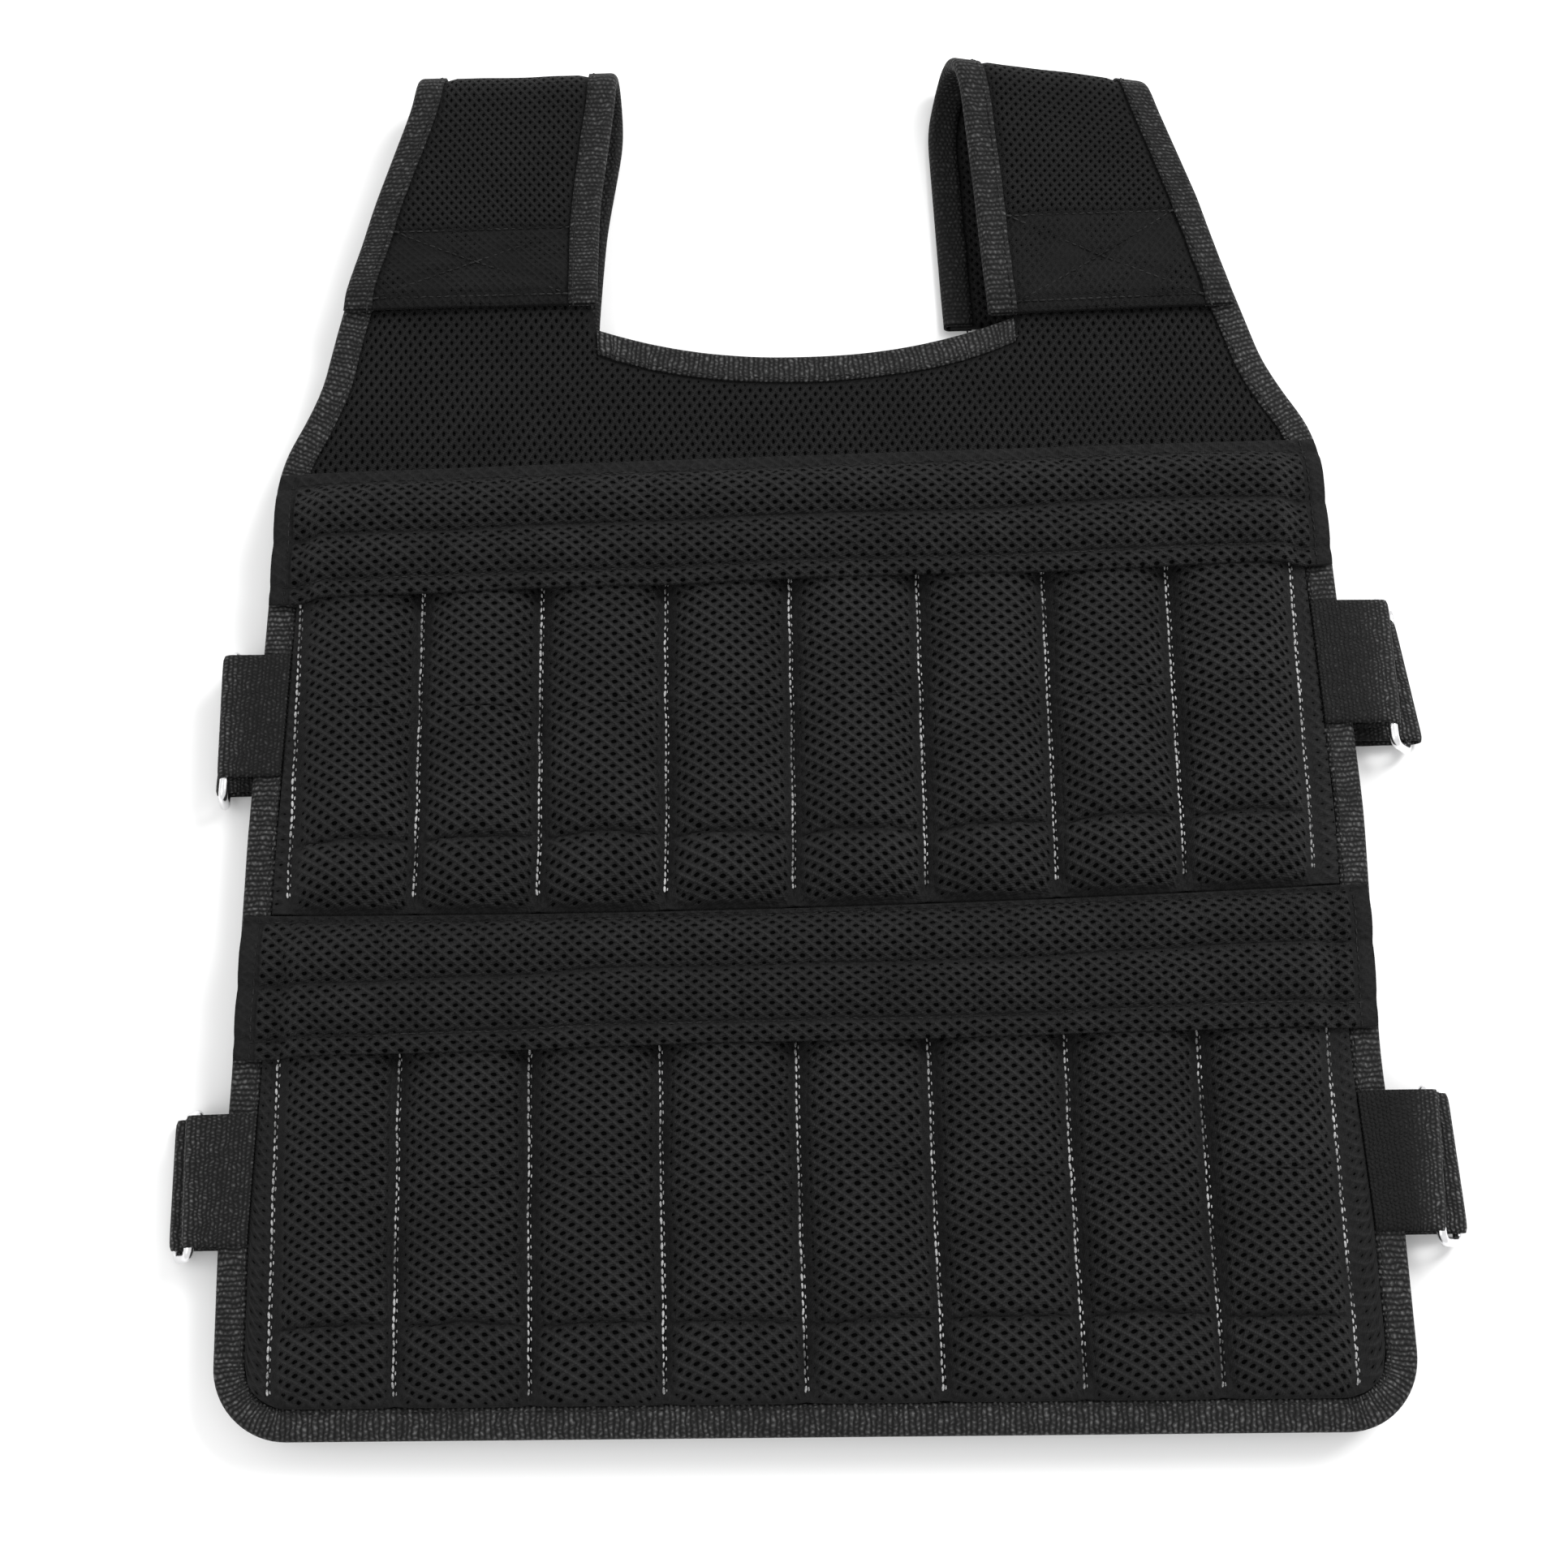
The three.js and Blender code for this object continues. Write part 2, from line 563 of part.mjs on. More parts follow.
// A short tab sewn over and under the front panel's edge, round the ring's upper bar
function sideTab(fastening) {
  const edge = edgeReach(fastening.middle * EAR_TOP);
  const clear = BINDING_HALF + SEWN_GAP + WEBBING_THICK / 2;
  const { upper } = bars(fastening);
  const foot = SEWN_GAP - TAPE_COVER;
  const over = frontLevel(edge + foot) + clear;
  const below = frontLevel(edge) - clear;
  return webbing(
    [
      new THREE.Vector2(foot, over),
      new THREE.Vector2(2 * TAPE_THICK, over),
      ...turnRound(upper),
      new THREE.Vector2(2 * TAPE_THICK, below),
      new THREE.Vector2(foot, below),
    ],
    fastening,
  );
}

// The long strap sewn on the back panel's edge, through the ring and back under itself
function sideStrap(fastening) {
  const { lower } = bars(fastening);
  const over = BACK_SIDE_LEVEL + BINDING_HALF + SEWN_GAP + WEBBING_THICK / 2;
  return webbing(
    [
      new THREE.Vector2(-TAPE_COVER, over),
      new THREE.Vector2(2 * TAPE_THICK, over),
      ...turnRound(lower),
      new THREE.Vector2(lower.x - WEBBING_TAIL, WEBBING_THICK / 2),
    ],
    fastening,
  );
}

// A ring of round wire: two long bars through the webbing, joined by short ends. It has slid down a little.
function ring(fastening) {
  const { upper, lower } = bars(fastening);
  const halfLength = WEBBING_WIDTH / 2 + RING_SIDE_PLAY + WIRE_RADIUS;
  const halfSpan = RING_SPAN / 2;
  const outline = new THREE.Path();
  const corners = [
    [1, 1, 0],
    [-1, 1, 0.5],
    [-1, -1, 1],
    [1, -1, 1.5],
  ];
  for (const [lengthSign, spanSign, start] of corners) {
    outline.absarc(
      lengthSign * (halfLength - RING_CORNER),
      spanSign * (halfSpan - RING_CORNER),
      RING_CORNER,
      start * Math.PI,
      (start + 0.5) * Math.PI,
    );
  }
  const line = outline.getPoints(2).filter((point, i, all) => i === 0 || point.distanceTo(all[i - 1]) > 0.01);
  if (line[0].distanceTo(line.at(-1)) < 0.01) line.pop();
  const offsets = mitres(line, true);
  const middle = upper.clone().lerp(lower, 0.5);
  const spanAxis = upper.clone().sub(lower).normalize();
  const height = fastening.middle * EAR_TOP - RING_DROP;
  const geometry = new THREE.TorusGeometry(1, 0.1, 6, line.length);
  const { position, uv } = geometry.attributes;
  for (let i = 0; i < position.count; i += 1) {
    const station = Math.round(uv.getX(i) * line.length) % line.length;
    const turn = uv.getY(i) * 2 * Math.PI;
    const flat = line[station].clone().addScaledVector(offsets[station], WIRE_RADIUS * Math.cos(turn));
    const proud = WIRE_RADIUS * Math.sin(turn);
    const x = middle.x + spanAxis.x * flat.y + spanAxis.y * proud;
    const z = middle.y + spanAxis.y * flat.y - spanAxis.x * proud;
    const reach = edgeReach(height + flat.x) + x;
    position.setXYZ(i, ...asItLies(fastening.side * reach, height + flat.x, z));
  }
  return closedOutward(geometry);
}

const vest = new THREE.Group();
vest.name = 'weighted_vest';

function add(name, geometry, finish) {
  const mesh = new THREE.Mesh(geometry, finish);
  mesh.name = name;
  vest.add(mesh);
}

add('front_panel', panel(FRONT_NECK_DEPTH, frontLevel), SPACER_MESH);
add('front_binding', outerBinding(FRONT_NECK_DEPTH, frontLevel), TAPE);
add('front_neck_binding', neckBinding(FRONT_NECK_DEPTH, frontLevel), TAPE);
add('back_panel', panel(BACK_NECK_DEPTH, backLevel), SPACER_MESH);
add('back_binding', outerBinding(BACK_NECK_DEPTH, backLevel), TAPE);
add('back_neck_binding', neckBinding(BACK_NECK_DEPTH, backLevel), TAPE);
for (const [name, row] of Object.entries(ROWS_OF_POCKETS)) {
  add(`pocket_row_${name}`, pocketSheet(row), SPACER_MESH);
  add(`flap_${name}`, flap(row), SPACER_MESH);
}
for (const [name, strap] of Object.entries(STRAPS)) {
  add(`shoulder_strap_${name}`, shoulderStrap(strap), SPACER_MESH);
  add(`strap_binding_${name}_inner`, strapBinding(strap, 'inner'), TAPE);
  add(`strap_binding_${name}_outer`, strapBinding(strap, 'outer'), TAPE);
}
for (const fastening of FASTENINGS) {
  add(`side_tab_${fastening.name}`, sideTab(fastening), WEBBING);
  add(`side_strap_${fastening.name}`, sideStrap(fastening), WEBBING);
  add(`side_ring_${fastening.name}`, ring(fastening), STEEL);
}

// The origin is the middle of the vest's footprint on the floor
const extent = new THREE.Box3().setFromObject(vest);
const middle = extent.getCenter(new THREE.Vector3());
vest.position.set(-middle.x, -middle.y, -extent.min.z);

export default vest;
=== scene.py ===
import math

import bpy
import numpy as np
from mathutils import Matrix, Vector


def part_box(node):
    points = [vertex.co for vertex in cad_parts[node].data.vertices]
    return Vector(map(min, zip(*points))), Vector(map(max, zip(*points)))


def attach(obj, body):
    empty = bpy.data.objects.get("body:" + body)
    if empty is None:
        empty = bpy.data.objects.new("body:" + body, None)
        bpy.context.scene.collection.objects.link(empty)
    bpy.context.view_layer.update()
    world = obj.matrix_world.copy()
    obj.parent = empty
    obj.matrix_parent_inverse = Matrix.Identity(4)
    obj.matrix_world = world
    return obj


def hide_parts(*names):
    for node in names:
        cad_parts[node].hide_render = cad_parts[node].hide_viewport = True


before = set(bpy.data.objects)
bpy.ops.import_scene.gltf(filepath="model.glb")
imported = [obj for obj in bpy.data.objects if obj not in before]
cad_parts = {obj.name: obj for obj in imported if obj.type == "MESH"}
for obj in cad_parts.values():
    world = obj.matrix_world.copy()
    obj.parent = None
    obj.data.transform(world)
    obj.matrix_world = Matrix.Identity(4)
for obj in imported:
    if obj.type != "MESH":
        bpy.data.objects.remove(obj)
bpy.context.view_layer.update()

MM = 0.001

# The vest's pattern
HALF_WIDTH = 217
LOWER_POCKET_BOTTOM = 11.1
LOWER_SEAM = LOWER_POCKET_BOTTOM + 184.9
UPPER_POCKET_BOTTOM = LOWER_SEAM + 3.5
UPPER_SEAM = UPPER_POCKET_BOTTOM + 177.5
NECK_TOP = UPPER_SEAM + 59
EAR_TOP = NECK_TOP + 46
STRAP_END = EAR_TOP - 41
STRAP_FOLD = EAR_TOP + 74
NECK_CENTRE = 6.75
NECK_HALF = 85.25
NECK_ROUND = 2.2
FRONT_NECK_DEPTH = 15
BACK_NECK_DEPTH = 27
CORNER_RADIUS = 26
EAR_SETBACK = 8
MOUTH_BELOW_SEAM = 20
FLAP_DEPTH = 52
POCKETS = 8
POCKET_WIDTH = 49

CLOTH_FRAMES = 20

# Thicknesses and levels
PANEL_THICK = 5
EDGE_THICK = 3
TAPE_THICK = 1
TAPE_COVER = 10.5
TAPE_SEAM = 1.8
TAPE_TUCK = 1.5
SEWN_GAP = 0.3
COMPRESSED = TAPE_COVER + 1.2
FULL_LOFT = COMPRESSED + 4
BINDING_HALF = EDGE_THICK / 2 + SEWN_GAP + TAPE_THICK
WEBBING_THICK = 1.8
WEBBING_WIDTH = 50
FRONT_LEVEL = 18
FRONT_CROWN = 1.5
STRAP_THICK = 5
BACK_STRAP_LEVEL = BINDING_HALF
BACK_EAR_LEVEL = BACK_STRAP_LEVEL + 2 * BINDING_HALF + SEWN_GAP
BACK_SIDE_LEVEL = WEBBING_THICK + SEWN_GAP + BINDING_HALF
FRONT_STRAP_LEVEL = FRONT_LEVEL + BINDING_HALF + SEWN_GAP + STRAP_THICK / 2
STRAP_LOFT = 4
POCKET_SHEET = 2
POCKET_BULGE = 8.5
FLAP_THICK = 4.4
FLAP_GAP = 0.5

# Side edge: heights in shares of EAR_TOP and reaches in shares of HALF_WIDTH
SIDE_UP = (0.145, 0.27, 0.467, 0.685, 0.772, 0.801, 0.83, 0.861, 0.911, 1)
SIDE_OUT = (0.998, 0.986, 0.986, 0.967, 0.963, 0.945, 0.908, 0.876, 0.848, 0.795)
YOKE_FOOT = SIDE_UP[6] * EAR_TOP

# How the vest lies: height in shares of STRAP_FOLD, sideways lean and hem slant in millimetres
LIE_UP = (0, 0.234, 0.405, 0.67, 0.81, 1)
LIE_LEAN = (0, 0, 3.0, 4.8, 2.2, 1.7)
LIE_SLANT = (-4.3, 0, 0, 1.3, 0, 0)


def softened(xs, ys, blur, reach, step=1.0):
    """A table read as a smooth curve: its straight stretches, rounded over a length of blur."""
    grid = np.arange(-reach * 0.2, reach * 1.2, step)
    line = np.interp(grid, xs, ys)
    window = np.hanning(2 * int(blur / step) + 3)[1:-1]
    window /= window.sum()
    pad = len(window) // 2
    smooth = np.convolve(np.pad(line, pad, mode="edge"), window, mode="valid")
    return lambda at: np.interp(at, grid, smooth[:len(grid)])


side_edge = softened(np.array(SIDE_UP) * EAR_TOP, np.array(SIDE_OUT) * HALF_WIDTH, 11, EAR_TOP)
lie_lean = softened(np.array(LIE_UP) * STRAP_FOLD, LIE_LEAN, 30, STRAP_FOLD)
lie_slant = softened(np.array(LIE_UP) * STRAP_FOLD, LIE_SLANT, 30, STRAP_FOLD)

# Where the pattern's origin lies in the frame
widest = side_edge(SIDE_UP[0] * EAR_TOP) + SEWN_GAP + TAPE_THICK
SHIFT_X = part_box("front_binding")[0].x / MM + widest
SHIFT_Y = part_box("shoulder_strap_left")[1].y / MM - STRAP_FOLD


def place(x, y, z):
    """Points of the pattern, laid down on the floor, in metres."""
    x, y, z = np.broadcast_arrays(x, y, np.maximum(z, 0))
    lean = lie_lean(y)
    slant = lie_slant(y)
    return np.stack([x + lean + SHIFT_X, y + slant * x / HALF_WIDTH + SHIFT_Y, z], axis=-1) * MM


def smoothstep(x, a, b):
    t = np.clip((x - a) / (b - a), 0, 1)
    return t * t * (3 - 2 * t)


def waves(x, y, size, seed, layers=3):
    """Gentle unevenness from -1 to 1, about size across, the same at each run."""
    random = np.random.default_rng(seed)
    total = np.zeros(np.broadcast(x, y).shape)
    for layer in range(layers):
        for _ in range(5):
            angle = random.uniform(0, 2 * math.pi)
            length = size * random.uniform(0.7, 1.5) / 1.9 ** layer
            phase = random.uniform(0, 2 * math.pi)
            along = x * math.cos(angle) + y * math.sin(angle)
            total = total + np.sin(2 * math.pi * along / length + phase) / 1.8 ** layer
    return total / 5


def edge_reach(y):
    """Half width of a panel at a height above the hem, with the rounded hem corner."""
    y = np.asarray(y, float)
    drop = np.clip(CORNER_RADIUS - y, 0, CORNER_RADIUS)
    return side_edge(y) - CORNER_RADIUS + np.sqrt(CORNER_RADIUS ** 2 - drop ** 2)


def neckline(x, depth):
    t = np.clip((np.asarray(x, float) - NECK_CENTRE) / NECK_HALF, -1, 1)
    return NECK_TOP - depth * (1 - np.abs(t) ** NECK_ROUND)


def front_level(x):
    return FRONT_LEVEL - FRONT_CROWN * (np.asarray(x, float) / HALF_WIDTH) ** 2


def back_level(x, y):
    inside = side_edge(y) - np.abs(x)
    by_the_side = 1 - np.clip((inside - FULL_LOFT) / 50, 0, 1)
    low = PANEL_THICK / 2 + (BACK_SIDE_LEVEL - PANEL_THICK / 2) * by_the_side * np.clip(y / 52, 0, 1)
    lift = smoothstep(y, YOKE_FOOT - 2 * FULL_LOFT, NECK_TOP - FULL_LOFT)
    return low + (BACK_EAR_LEVEL - low) * lift


# Meshes

def new_object(name, vertices, faces, uvs=None, material=None, press=None):
    """A mesh object from arrays. uvs has a row for each vertex, and so has press, the pressed share."""
    mesh = bpy.data.meshes.new(name)
    mesh.from_pydata([tuple(v) for v in vertices], [], [tuple(f) for f in faces])
    if uvs is not None:
        layer = mesh.uv_layers.new(name="cloth")
        corners = np.empty(len(mesh.loops), np.int32)
        mesh.loops.foreach_get("vertex_index", corners)
        layer.data.foreach_set("uv", np.asarray(uvs, np.float32)[corners].ravel())
    if press is not None:
        attribute = mesh.attributes.new("press", "FLOAT", "POINT")
        attribute.data.foreach_set("value", np.asarray(press, np.float32).ravel())
    mesh.polygons.foreach_set("use_smooth", [True] * len(mesh.polygons))
    if material:
        mesh.materials.append(material)
    mesh.update()
    obj = bpy.data.objects.new(name, mesh)
    bpy.context.scene.collection.objects.link(obj)
    return obj


def grid_faces(rows, columns, offset=0, flipped=False):
    index = np.arange(rows * columns).reshape(rows, columns) + offset
    a, b = index[:-1, :-1].ravel(), index[:-1, 1:].ravel()
    c, d = index[1:, 1:].ravel(), index[1:, :-1].ravel()
    return np.stack([a, d, c, b] if flipped else [a, b, c, d], axis=1)


def rim_faces(rows, columns, offset):
    """Faces that join the borders of two grids, the upper one at 0 and the lower one at offset."""
    index = np.arange(rows * columns).reshape(rows, columns)
    loop = np.concatenate([index[0, :-1], index[:-1, -1], index[-1, :0:-1], index[:0:-1, 0]])
    after = np.roll(loop, -1)
    return np.stack([loop, loop + offset, after + offset, after], axis=1)


def cloth_shell(name, top, bottom, uv, material, press=None):
    """A closed wall of cloth between two grids of points, the upper one facing up."""
    rows, columns = top.shape[:2]
    count = rows * columns
    vertices = np.concatenate([top.reshape(-1, 3), bottom.reshape(-1, 3)])
    faces = np.concatenate([
        grid_faces(rows, columns),
        grid_faces(rows, columns, count, flipped=True),
        rim_faces(rows, columns, count),
    ])
    uvs = np.tile(uv.reshape(-1, 2), (2, 1))
    if press is not None:
        press = np.tile(press.reshape(-1), 2)
    return new_object(name, vertices, faces, uvs, material, press)


def arc_lengths(points):
    steps = np.linalg.norm(np.diff(points, axis=0), axis=-1)
    return np.concatenate([[0], np.cumsum(steps)])


def resampled(knots, count=None):
    """Even steps along a line of knots, 0.9 mm long unless counted, and the length up to each step."""
    knots = np.array(knots)
    at = arc_lengths(knots)
    fine = np.linspace(0, at[-1], count or max(int(at[-1] / 0.9), 24))
    return np.stack([np.interp(fine, at, knots[:, i]) for i in (0, 1)], axis=1), fine


def outward_of(edge):
    """Unit vectors to the right of a run of plan points."""
    run = np.gradient(edge, axis=0)
    run /= np.linalg.norm(run, axis=1, keepdims=True)
    return np.stack([run[:, 1], -run[:, 0]], axis=1)


def cloth_uv(across, along):
    """UV in metres, from places across and along the cloth in millimetres."""
    return np.stack(np.broadcast_arrays(across, along), axis=-1) * MM


def filled_out(name, grid, held, pressure, growth, cap):
    """A sheet of cloth on a grid of points, blown up a little by its filling between the points held.

    The cloth is simulated ten times as large, which keeps its springs well behaved, and no point
    moves further than cap.
    """
    scale = 10
    rows, columns = grid.shape[:2]
    cloth = new_object(name + "_cloth", grid.reshape(-1, 3) * scale, grid_faces(rows, columns))
    pins = cloth.vertex_groups.new(name="held")
    for index in np.nonzero(held.ravel())[0]:
        pins.add([int(index)], 1.0, "REPLACE")
    modifier = cloth.modifiers.new("Cloth", "CLOTH")
    settings = modifier.settings
    settings.quality = 6
    settings.mass = 0.3
    settings.tension_stiffness = settings.compression_stiffness = 12
    settings.shear_stiffness = 4
    settings.bending_stiffness = 0.4
    settings.vertex_group_mass = "held"
    settings.use_pressure = True
    settings.uniform_pressure_force = pressure
    settings.shrink_min = -growth
    settings.effector_weights.gravity = 0
    modifier.collision_settings.use_collision = False
    modifier.point_cache.frame_start = 1
    modifier.point_cache.frame_end = CLOTH_FRAMES
    scene = bpy.context.scene
    for step in range(1, CLOTH_FRAMES + 1):
        scene.frame_set(step)
    settled = cloth.evaluated_get(bpy.context.evaluated_depsgraph_get()).data
    points = np.empty(rows * columns * 3)
    settled.vertices.foreach_get("co", points)
    bpy.data.objects.remove(cloth)
    scene.frame_set(1)
    moved = points.reshape(grid.shape) / scale - grid
    far = np.linalg.norm(moved, axis=-1, keepdims=True)
    return grid + moved / np.maximum(1, far / cap)


# Shader effects

def node_group(name, inputs, outputs):
    """An empty shader group with named inputs (name, kind, value) and outputs (name, kind)."""
    group = bpy.data.node_groups.new(name, "ShaderNodeTree")
    for label, kind, value in inputs:
        socket = group.interface.new_socket(label, in_out="INPUT", socket_type=kind)
        if value is not None:
            socket.default_value = value
    for label, kind in outputs:
        group.interface.new_socket(label, in_out="OUTPUT", socket_type=kind)
    return group, group.nodes.new("NodeGroupInput"), group.nodes.new("NodeGroupOutput")


class Wiring:
    """Short calls for the nodes of one tree."""

    def __init__(self, tree):
        self.tree = tree

    def node(self, kind, inputs=None, **settings):
        """A node with its settings, then its inputs by name or number: a socket to link, or a value."""
        made = self.tree.nodes.new(kind)
        for key, value in settings.items():
            setattr(made, key, value)
        for key, value in (inputs or {}).items():
            self.feed(made.inputs[key], value)
        return made

    def feed(self, socket, value):
        if isinstance(value, bpy.types.NodeSocket):
            self.tree.links.new(value, socket)
        elif value is not None:
            socket.default_value = value

    def math(self, operation, a, b=None, c=None):
        return self.node("ShaderNodeMath", {0: a, 1: b, 2: c}, operation=operation).outputs[0]

    def blend(self, share, a, b):
        made = self.node("ShaderNodeMix", {"Factor": share, "A": a, "B": b}, data_type="RGBA")
        return made.outputs["Result"]

    def ramp(self, value, low, high):
        made = self.node("ShaderNodeMapRange", {"Value": value, "From Min": low, "From Max": high},
                         interpolation_type="SMOOTHSTEP")
        return made.outputs["Result"]

    def noise(self, vector, scale, detail=2.0, kind="3D", output="Fac"):
        made = self.node("ShaderNodeTexNoise", {"Vector": vector, "Scale": scale, "Detail": detail},
                         noise_dimensions=kind)
        return made.outputs[output]

    def drifted(self, cloth, scale, detail, reach):
        """Places across and along the cloth, each pushed about by a noise."""
        drift = self.noise(cloth, scale, detail, "2D", "Color")
        push = self.node("ShaderNodeVectorMath", {0: drift, 1: reach, 2: cloth}, operation="MULTIPLY_ADD")
        split = self.node("ShaderNodeSeparateXYZ", {0: push.outputs[0]})
        return split.outputs["X"], split.outputs["Y"]


def air_mesh_effect():
    """Knitted air mesh: staggered oval holes between diagonal yarns, from the cloth's own UV in metres."""
    group, given, out = node_group(
        "air_mesh",
        [
            ("Cloth", "NodeSocketVector", None),
            ("Press", "NodeSocketFloat", 0.0),
            ("Pitch Across", "NodeSocketFloat", 0.0058),
            ("Pitch Along", "NodeSocketFloat", 0.0047),
            ("Hole Size", "NodeSocketFloat", 0.6),
            ("Yarn", "NodeSocketColor", (0.02, 0.02, 0.02, 1)),
            ("Hole", "NodeSocketColor", (0.0008, 0.0008, 0.0008, 1)),
        ],
        [("Colour", "NodeSocketColor"), ("Height", "NodeSocketFloat"), ("Shine", "NodeSocketFloat")],
    )
    w = Wiring(group)
    turn = 2 * math.pi
    x, y = w.drifted(given.outputs["Cloth"], 30.0, 1.0, (0.0022, 0.0022, 0))
    across = w.math("DIVIDE", x, given.outputs["Pitch Across"])
    along = w.math("DIVIDE", y, given.outputs["Pitch Along"])
    wave_across = w.math("COSINE", w.math("MULTIPLY", across, turn))
    wave_along = w.math("COSINE", w.math("MULTIPLY", along, turn))
    rows = w.math("COSINE", w.math("MULTIPLY", along, 2 * turn))
    columns = w.math("COSINE", w.math("MULTIPLY", across, 2 * turn))
    crossed = w.math("MULTIPLY", w.math("MULTIPLY", wave_across, wave_along), -1.0)
    net = w.math("MULTIPLY_ADD", columns, 0.14, w.math("MULTIPLY_ADD", rows, 0.3, crossed))
    uneven = w.noise(given.outputs["Cloth"], 700.0, 2.0, "2D")
    level = w.math("MULTIPLY_ADD", uneven, 0.7, w.math("SUBTRACT", net, 0.42))
    shut = w.math("MULTIPLY", given.outputs["Press"], 1.1)
    edge = w.math("ADD", w.math("SUBTRACT", 1.0, given.outputs["Hole Size"]), shut)
    opening = w.ramp(level, edge, w.math("ADD", edge, 0.3))
    falling = w.math("COSINE", w.math("MULTIPLY", w.math("ADD", across, along), turn))
    rising = w.math("COSINE", w.math("MULTIPLY", w.math("SUBTRACT", across, along), turn))
    ridge = w.math("MAXIMUM", w.math("MULTIPLY_ADD", rising, 0.8, -0.1), falling)
    yarns = w.math("MULTIPLY_ADD", ridge, 0.5, 0.5)
    diagonal = w.math("SINE", w.math("MULTIPLY", w.math("ADD", across, along), turn * 2))
    strands = w.math("SINE", w.math("MULTIPLY", w.math("SUBTRACT", across, along), turn * 4))
    fibre = w.math("MULTIPLY_ADD", w.math("MULTIPLY", diagonal, strands), 0.14, yarns)
    soften = w.math("SUBTRACT", 1.0, w.math("MULTIPLY", given.outputs["Press"], 0.8))
    relief = w.math("MULTIPLY", w.math("SUBTRACT", fibre, w.math("MULTIPLY", opening, 0.8)), soften)
    relief = w.math("MULTIPLY_ADD", uneven, 0.25, relief)
    # Painted highlight and shade: the yarn ridges are painted lighter and the ground round the holes darker.
    shade = w.math("MULTIPLY_ADD", w.math("POWER", yarns, 2.5), 0.95, 0.36)
    # Pressed cloth loses its ridges and takes a flat tone, half the yarn's; in the creases this dark tone is
    # painted shade.
    shade = w.math("ADD", w.math("MULTIPLY", shade, soften),
                   w.math("MULTIPLY", w.math("SUBTRACT", 1.0, soften), 0.5))
    patch = w.math("MULTIPLY_ADD", w.noise(given.outputs["Cloth"], 40.0, 3.0, "2D"), 0.7, 0.65)
    tone = w.math("MULTIPLY", w.math("MULTIPLY", shade, patch), w.math("MULTIPLY_ADD", uneven, 0.9, 0.55))
    lit = w.node("ShaderNodeVectorMath", {0: given.outputs["Yarn"], "Scale": tone}, operation="SCALE")
    # The near-black Hole colour is painted shade inside the holes.
    w.feed(out.inputs["Colour"], w.blend(opening, lit.outputs[0], given.outputs["Hole"]))
    w.feed(out.inputs["Height"], relief)
    w.feed(out.inputs["Shine"], w.math("MULTIPLY_ADD", opening, -0.12, 0.13))
    return group


def weave_effect():
    """Woven tape: ribs across its length, broken into threads that catch the light unevenly."""
    group, given, out = node_group(
        "woven_tape",
        [
            ("Cloth", "NodeSocketVector", None),
            ("Shaded", "NodeSocketFloat", 0.0),
            ("Rib", "NodeSocketFloat", 0.0022),
            ("Thread", "NodeSocketFloat", 0.0022),
            ("Ribbed", "NodeSocketFloat", 0.6),
            ("Dark", "NodeSocketColor", (0.003, 0.003, 0.003, 1)),
            ("Light", "NodeSocketColor", (0.06, 0.06, 0.06, 1)),
        ],
        [("Colour", "NodeSocketColor"), ("Height", "NodeSocketFloat")],
    )
    w = Wiring(group)
    x, y = w.drifted(given.outputs["Cloth"], 210.0, 2.0, (0.002, 0.0026, 0))
    lane = w.math("DIVIDE", x, given.outputs["Rib"])
    rib = w.math("FLOOR", lane)
    stagger = w.math("MULTIPLY", w.math("FLOORED_MODULO", rib, 2.0), 0.5)
    thread = w.math("ADD", w.math("DIVIDE", y, given.outputs["Thread"]), stagger)
    cell = w.node("ShaderNodeCombineXYZ", {"X": rib, "Y": w.math("FLOOR", thread)})
    chance = w.node("ShaderNodeTexWhiteNoise", {"Vector": cell.outputs[0]}, noise_dimensions="2D")
    over_rib = w.math("SINE", w.math("MULTIPLY", w.math("FRACT", lane), math.pi))
    over_thread = w.math("SINE", w.math("MULTIPLY", w.math("FRACT", thread), math.pi))
    crest = w.math("POWER", over_thread, 2.6)
    broken = w.math("MULTIPLY", crest, w.math("SUBTRACT", 1.0, given.outputs["Ribbed"]))
    bump = w.math("MULTIPLY", w.math("POWER", over_rib, 2.0), w.math("ADD", broken, given.outputs["Ribbed"]))
    fray = w.math("MULTIPLY_ADD", w.noise(given.outputs["Cloth"], 1100.0, 2.0, "2D"), 1.8, 0.1)
    wear = w.math("MULTIPLY_ADD", w.noise(given.outputs["Cloth"], 30.0, 3.0, "2D"), 0.8, 0.6)
    glint = w.math("MULTIPLY_ADD", w.math("POWER", chance.outputs["Value"], 2.0), 0.75, 0.4)
    body = w.math("MULTIPLY", w.math("MULTIPLY", bump, glint), w.math("MULTIPLY", fray, wear))
    in_light = w.math("MULTIPLY_ADD", given.outputs["Shaded"], -0.75, 1.0)
    body = w.math("MULTIPLY", body, in_light)
    w.feed(out.inputs["Colour"], w.blend(body, given.outputs["Dark"], given.outputs["Light"]))
    w.feed(out.inputs["Height"], w.math("MULTIPLY_ADD", fray, 0.2, bump))
    return group


def cloth_coordinates(w, turned=False):
    """The cloth's own UV, in metres, turned a quarter where the cloth was cut across."""
    uv = w.node("ShaderNodeUVMap", uv_map="cloth")
    if not turned:
        return uv.outputs[0]
    mapping = w.node("ShaderNodeMapping", {"Rotation": (0, 0, math.pi / 2), "Vector": uv.outputs[0]})
    return mapping.outputs[0]


def plain_material(name, roughness, specular=0.3, sheen=0.0, metallic=0.0):
    material = bpy.data.materials.new(name)
    material.use_nodes = True
    shader = material.node_tree.nodes["Principled BSDF"]
    shader.inputs["Roughness"].default_value = roughness
    shader.inputs["Specular IOR Level"].default_value = specular
    shader.inputs["Sheen Weight"].default_value = sheen
    shader.inputs["Sheen Roughness"].default_value = 0.4
    shader.inputs["Metallic"].default_value = metallic
    return material, Wiring(material.node_tree), shader


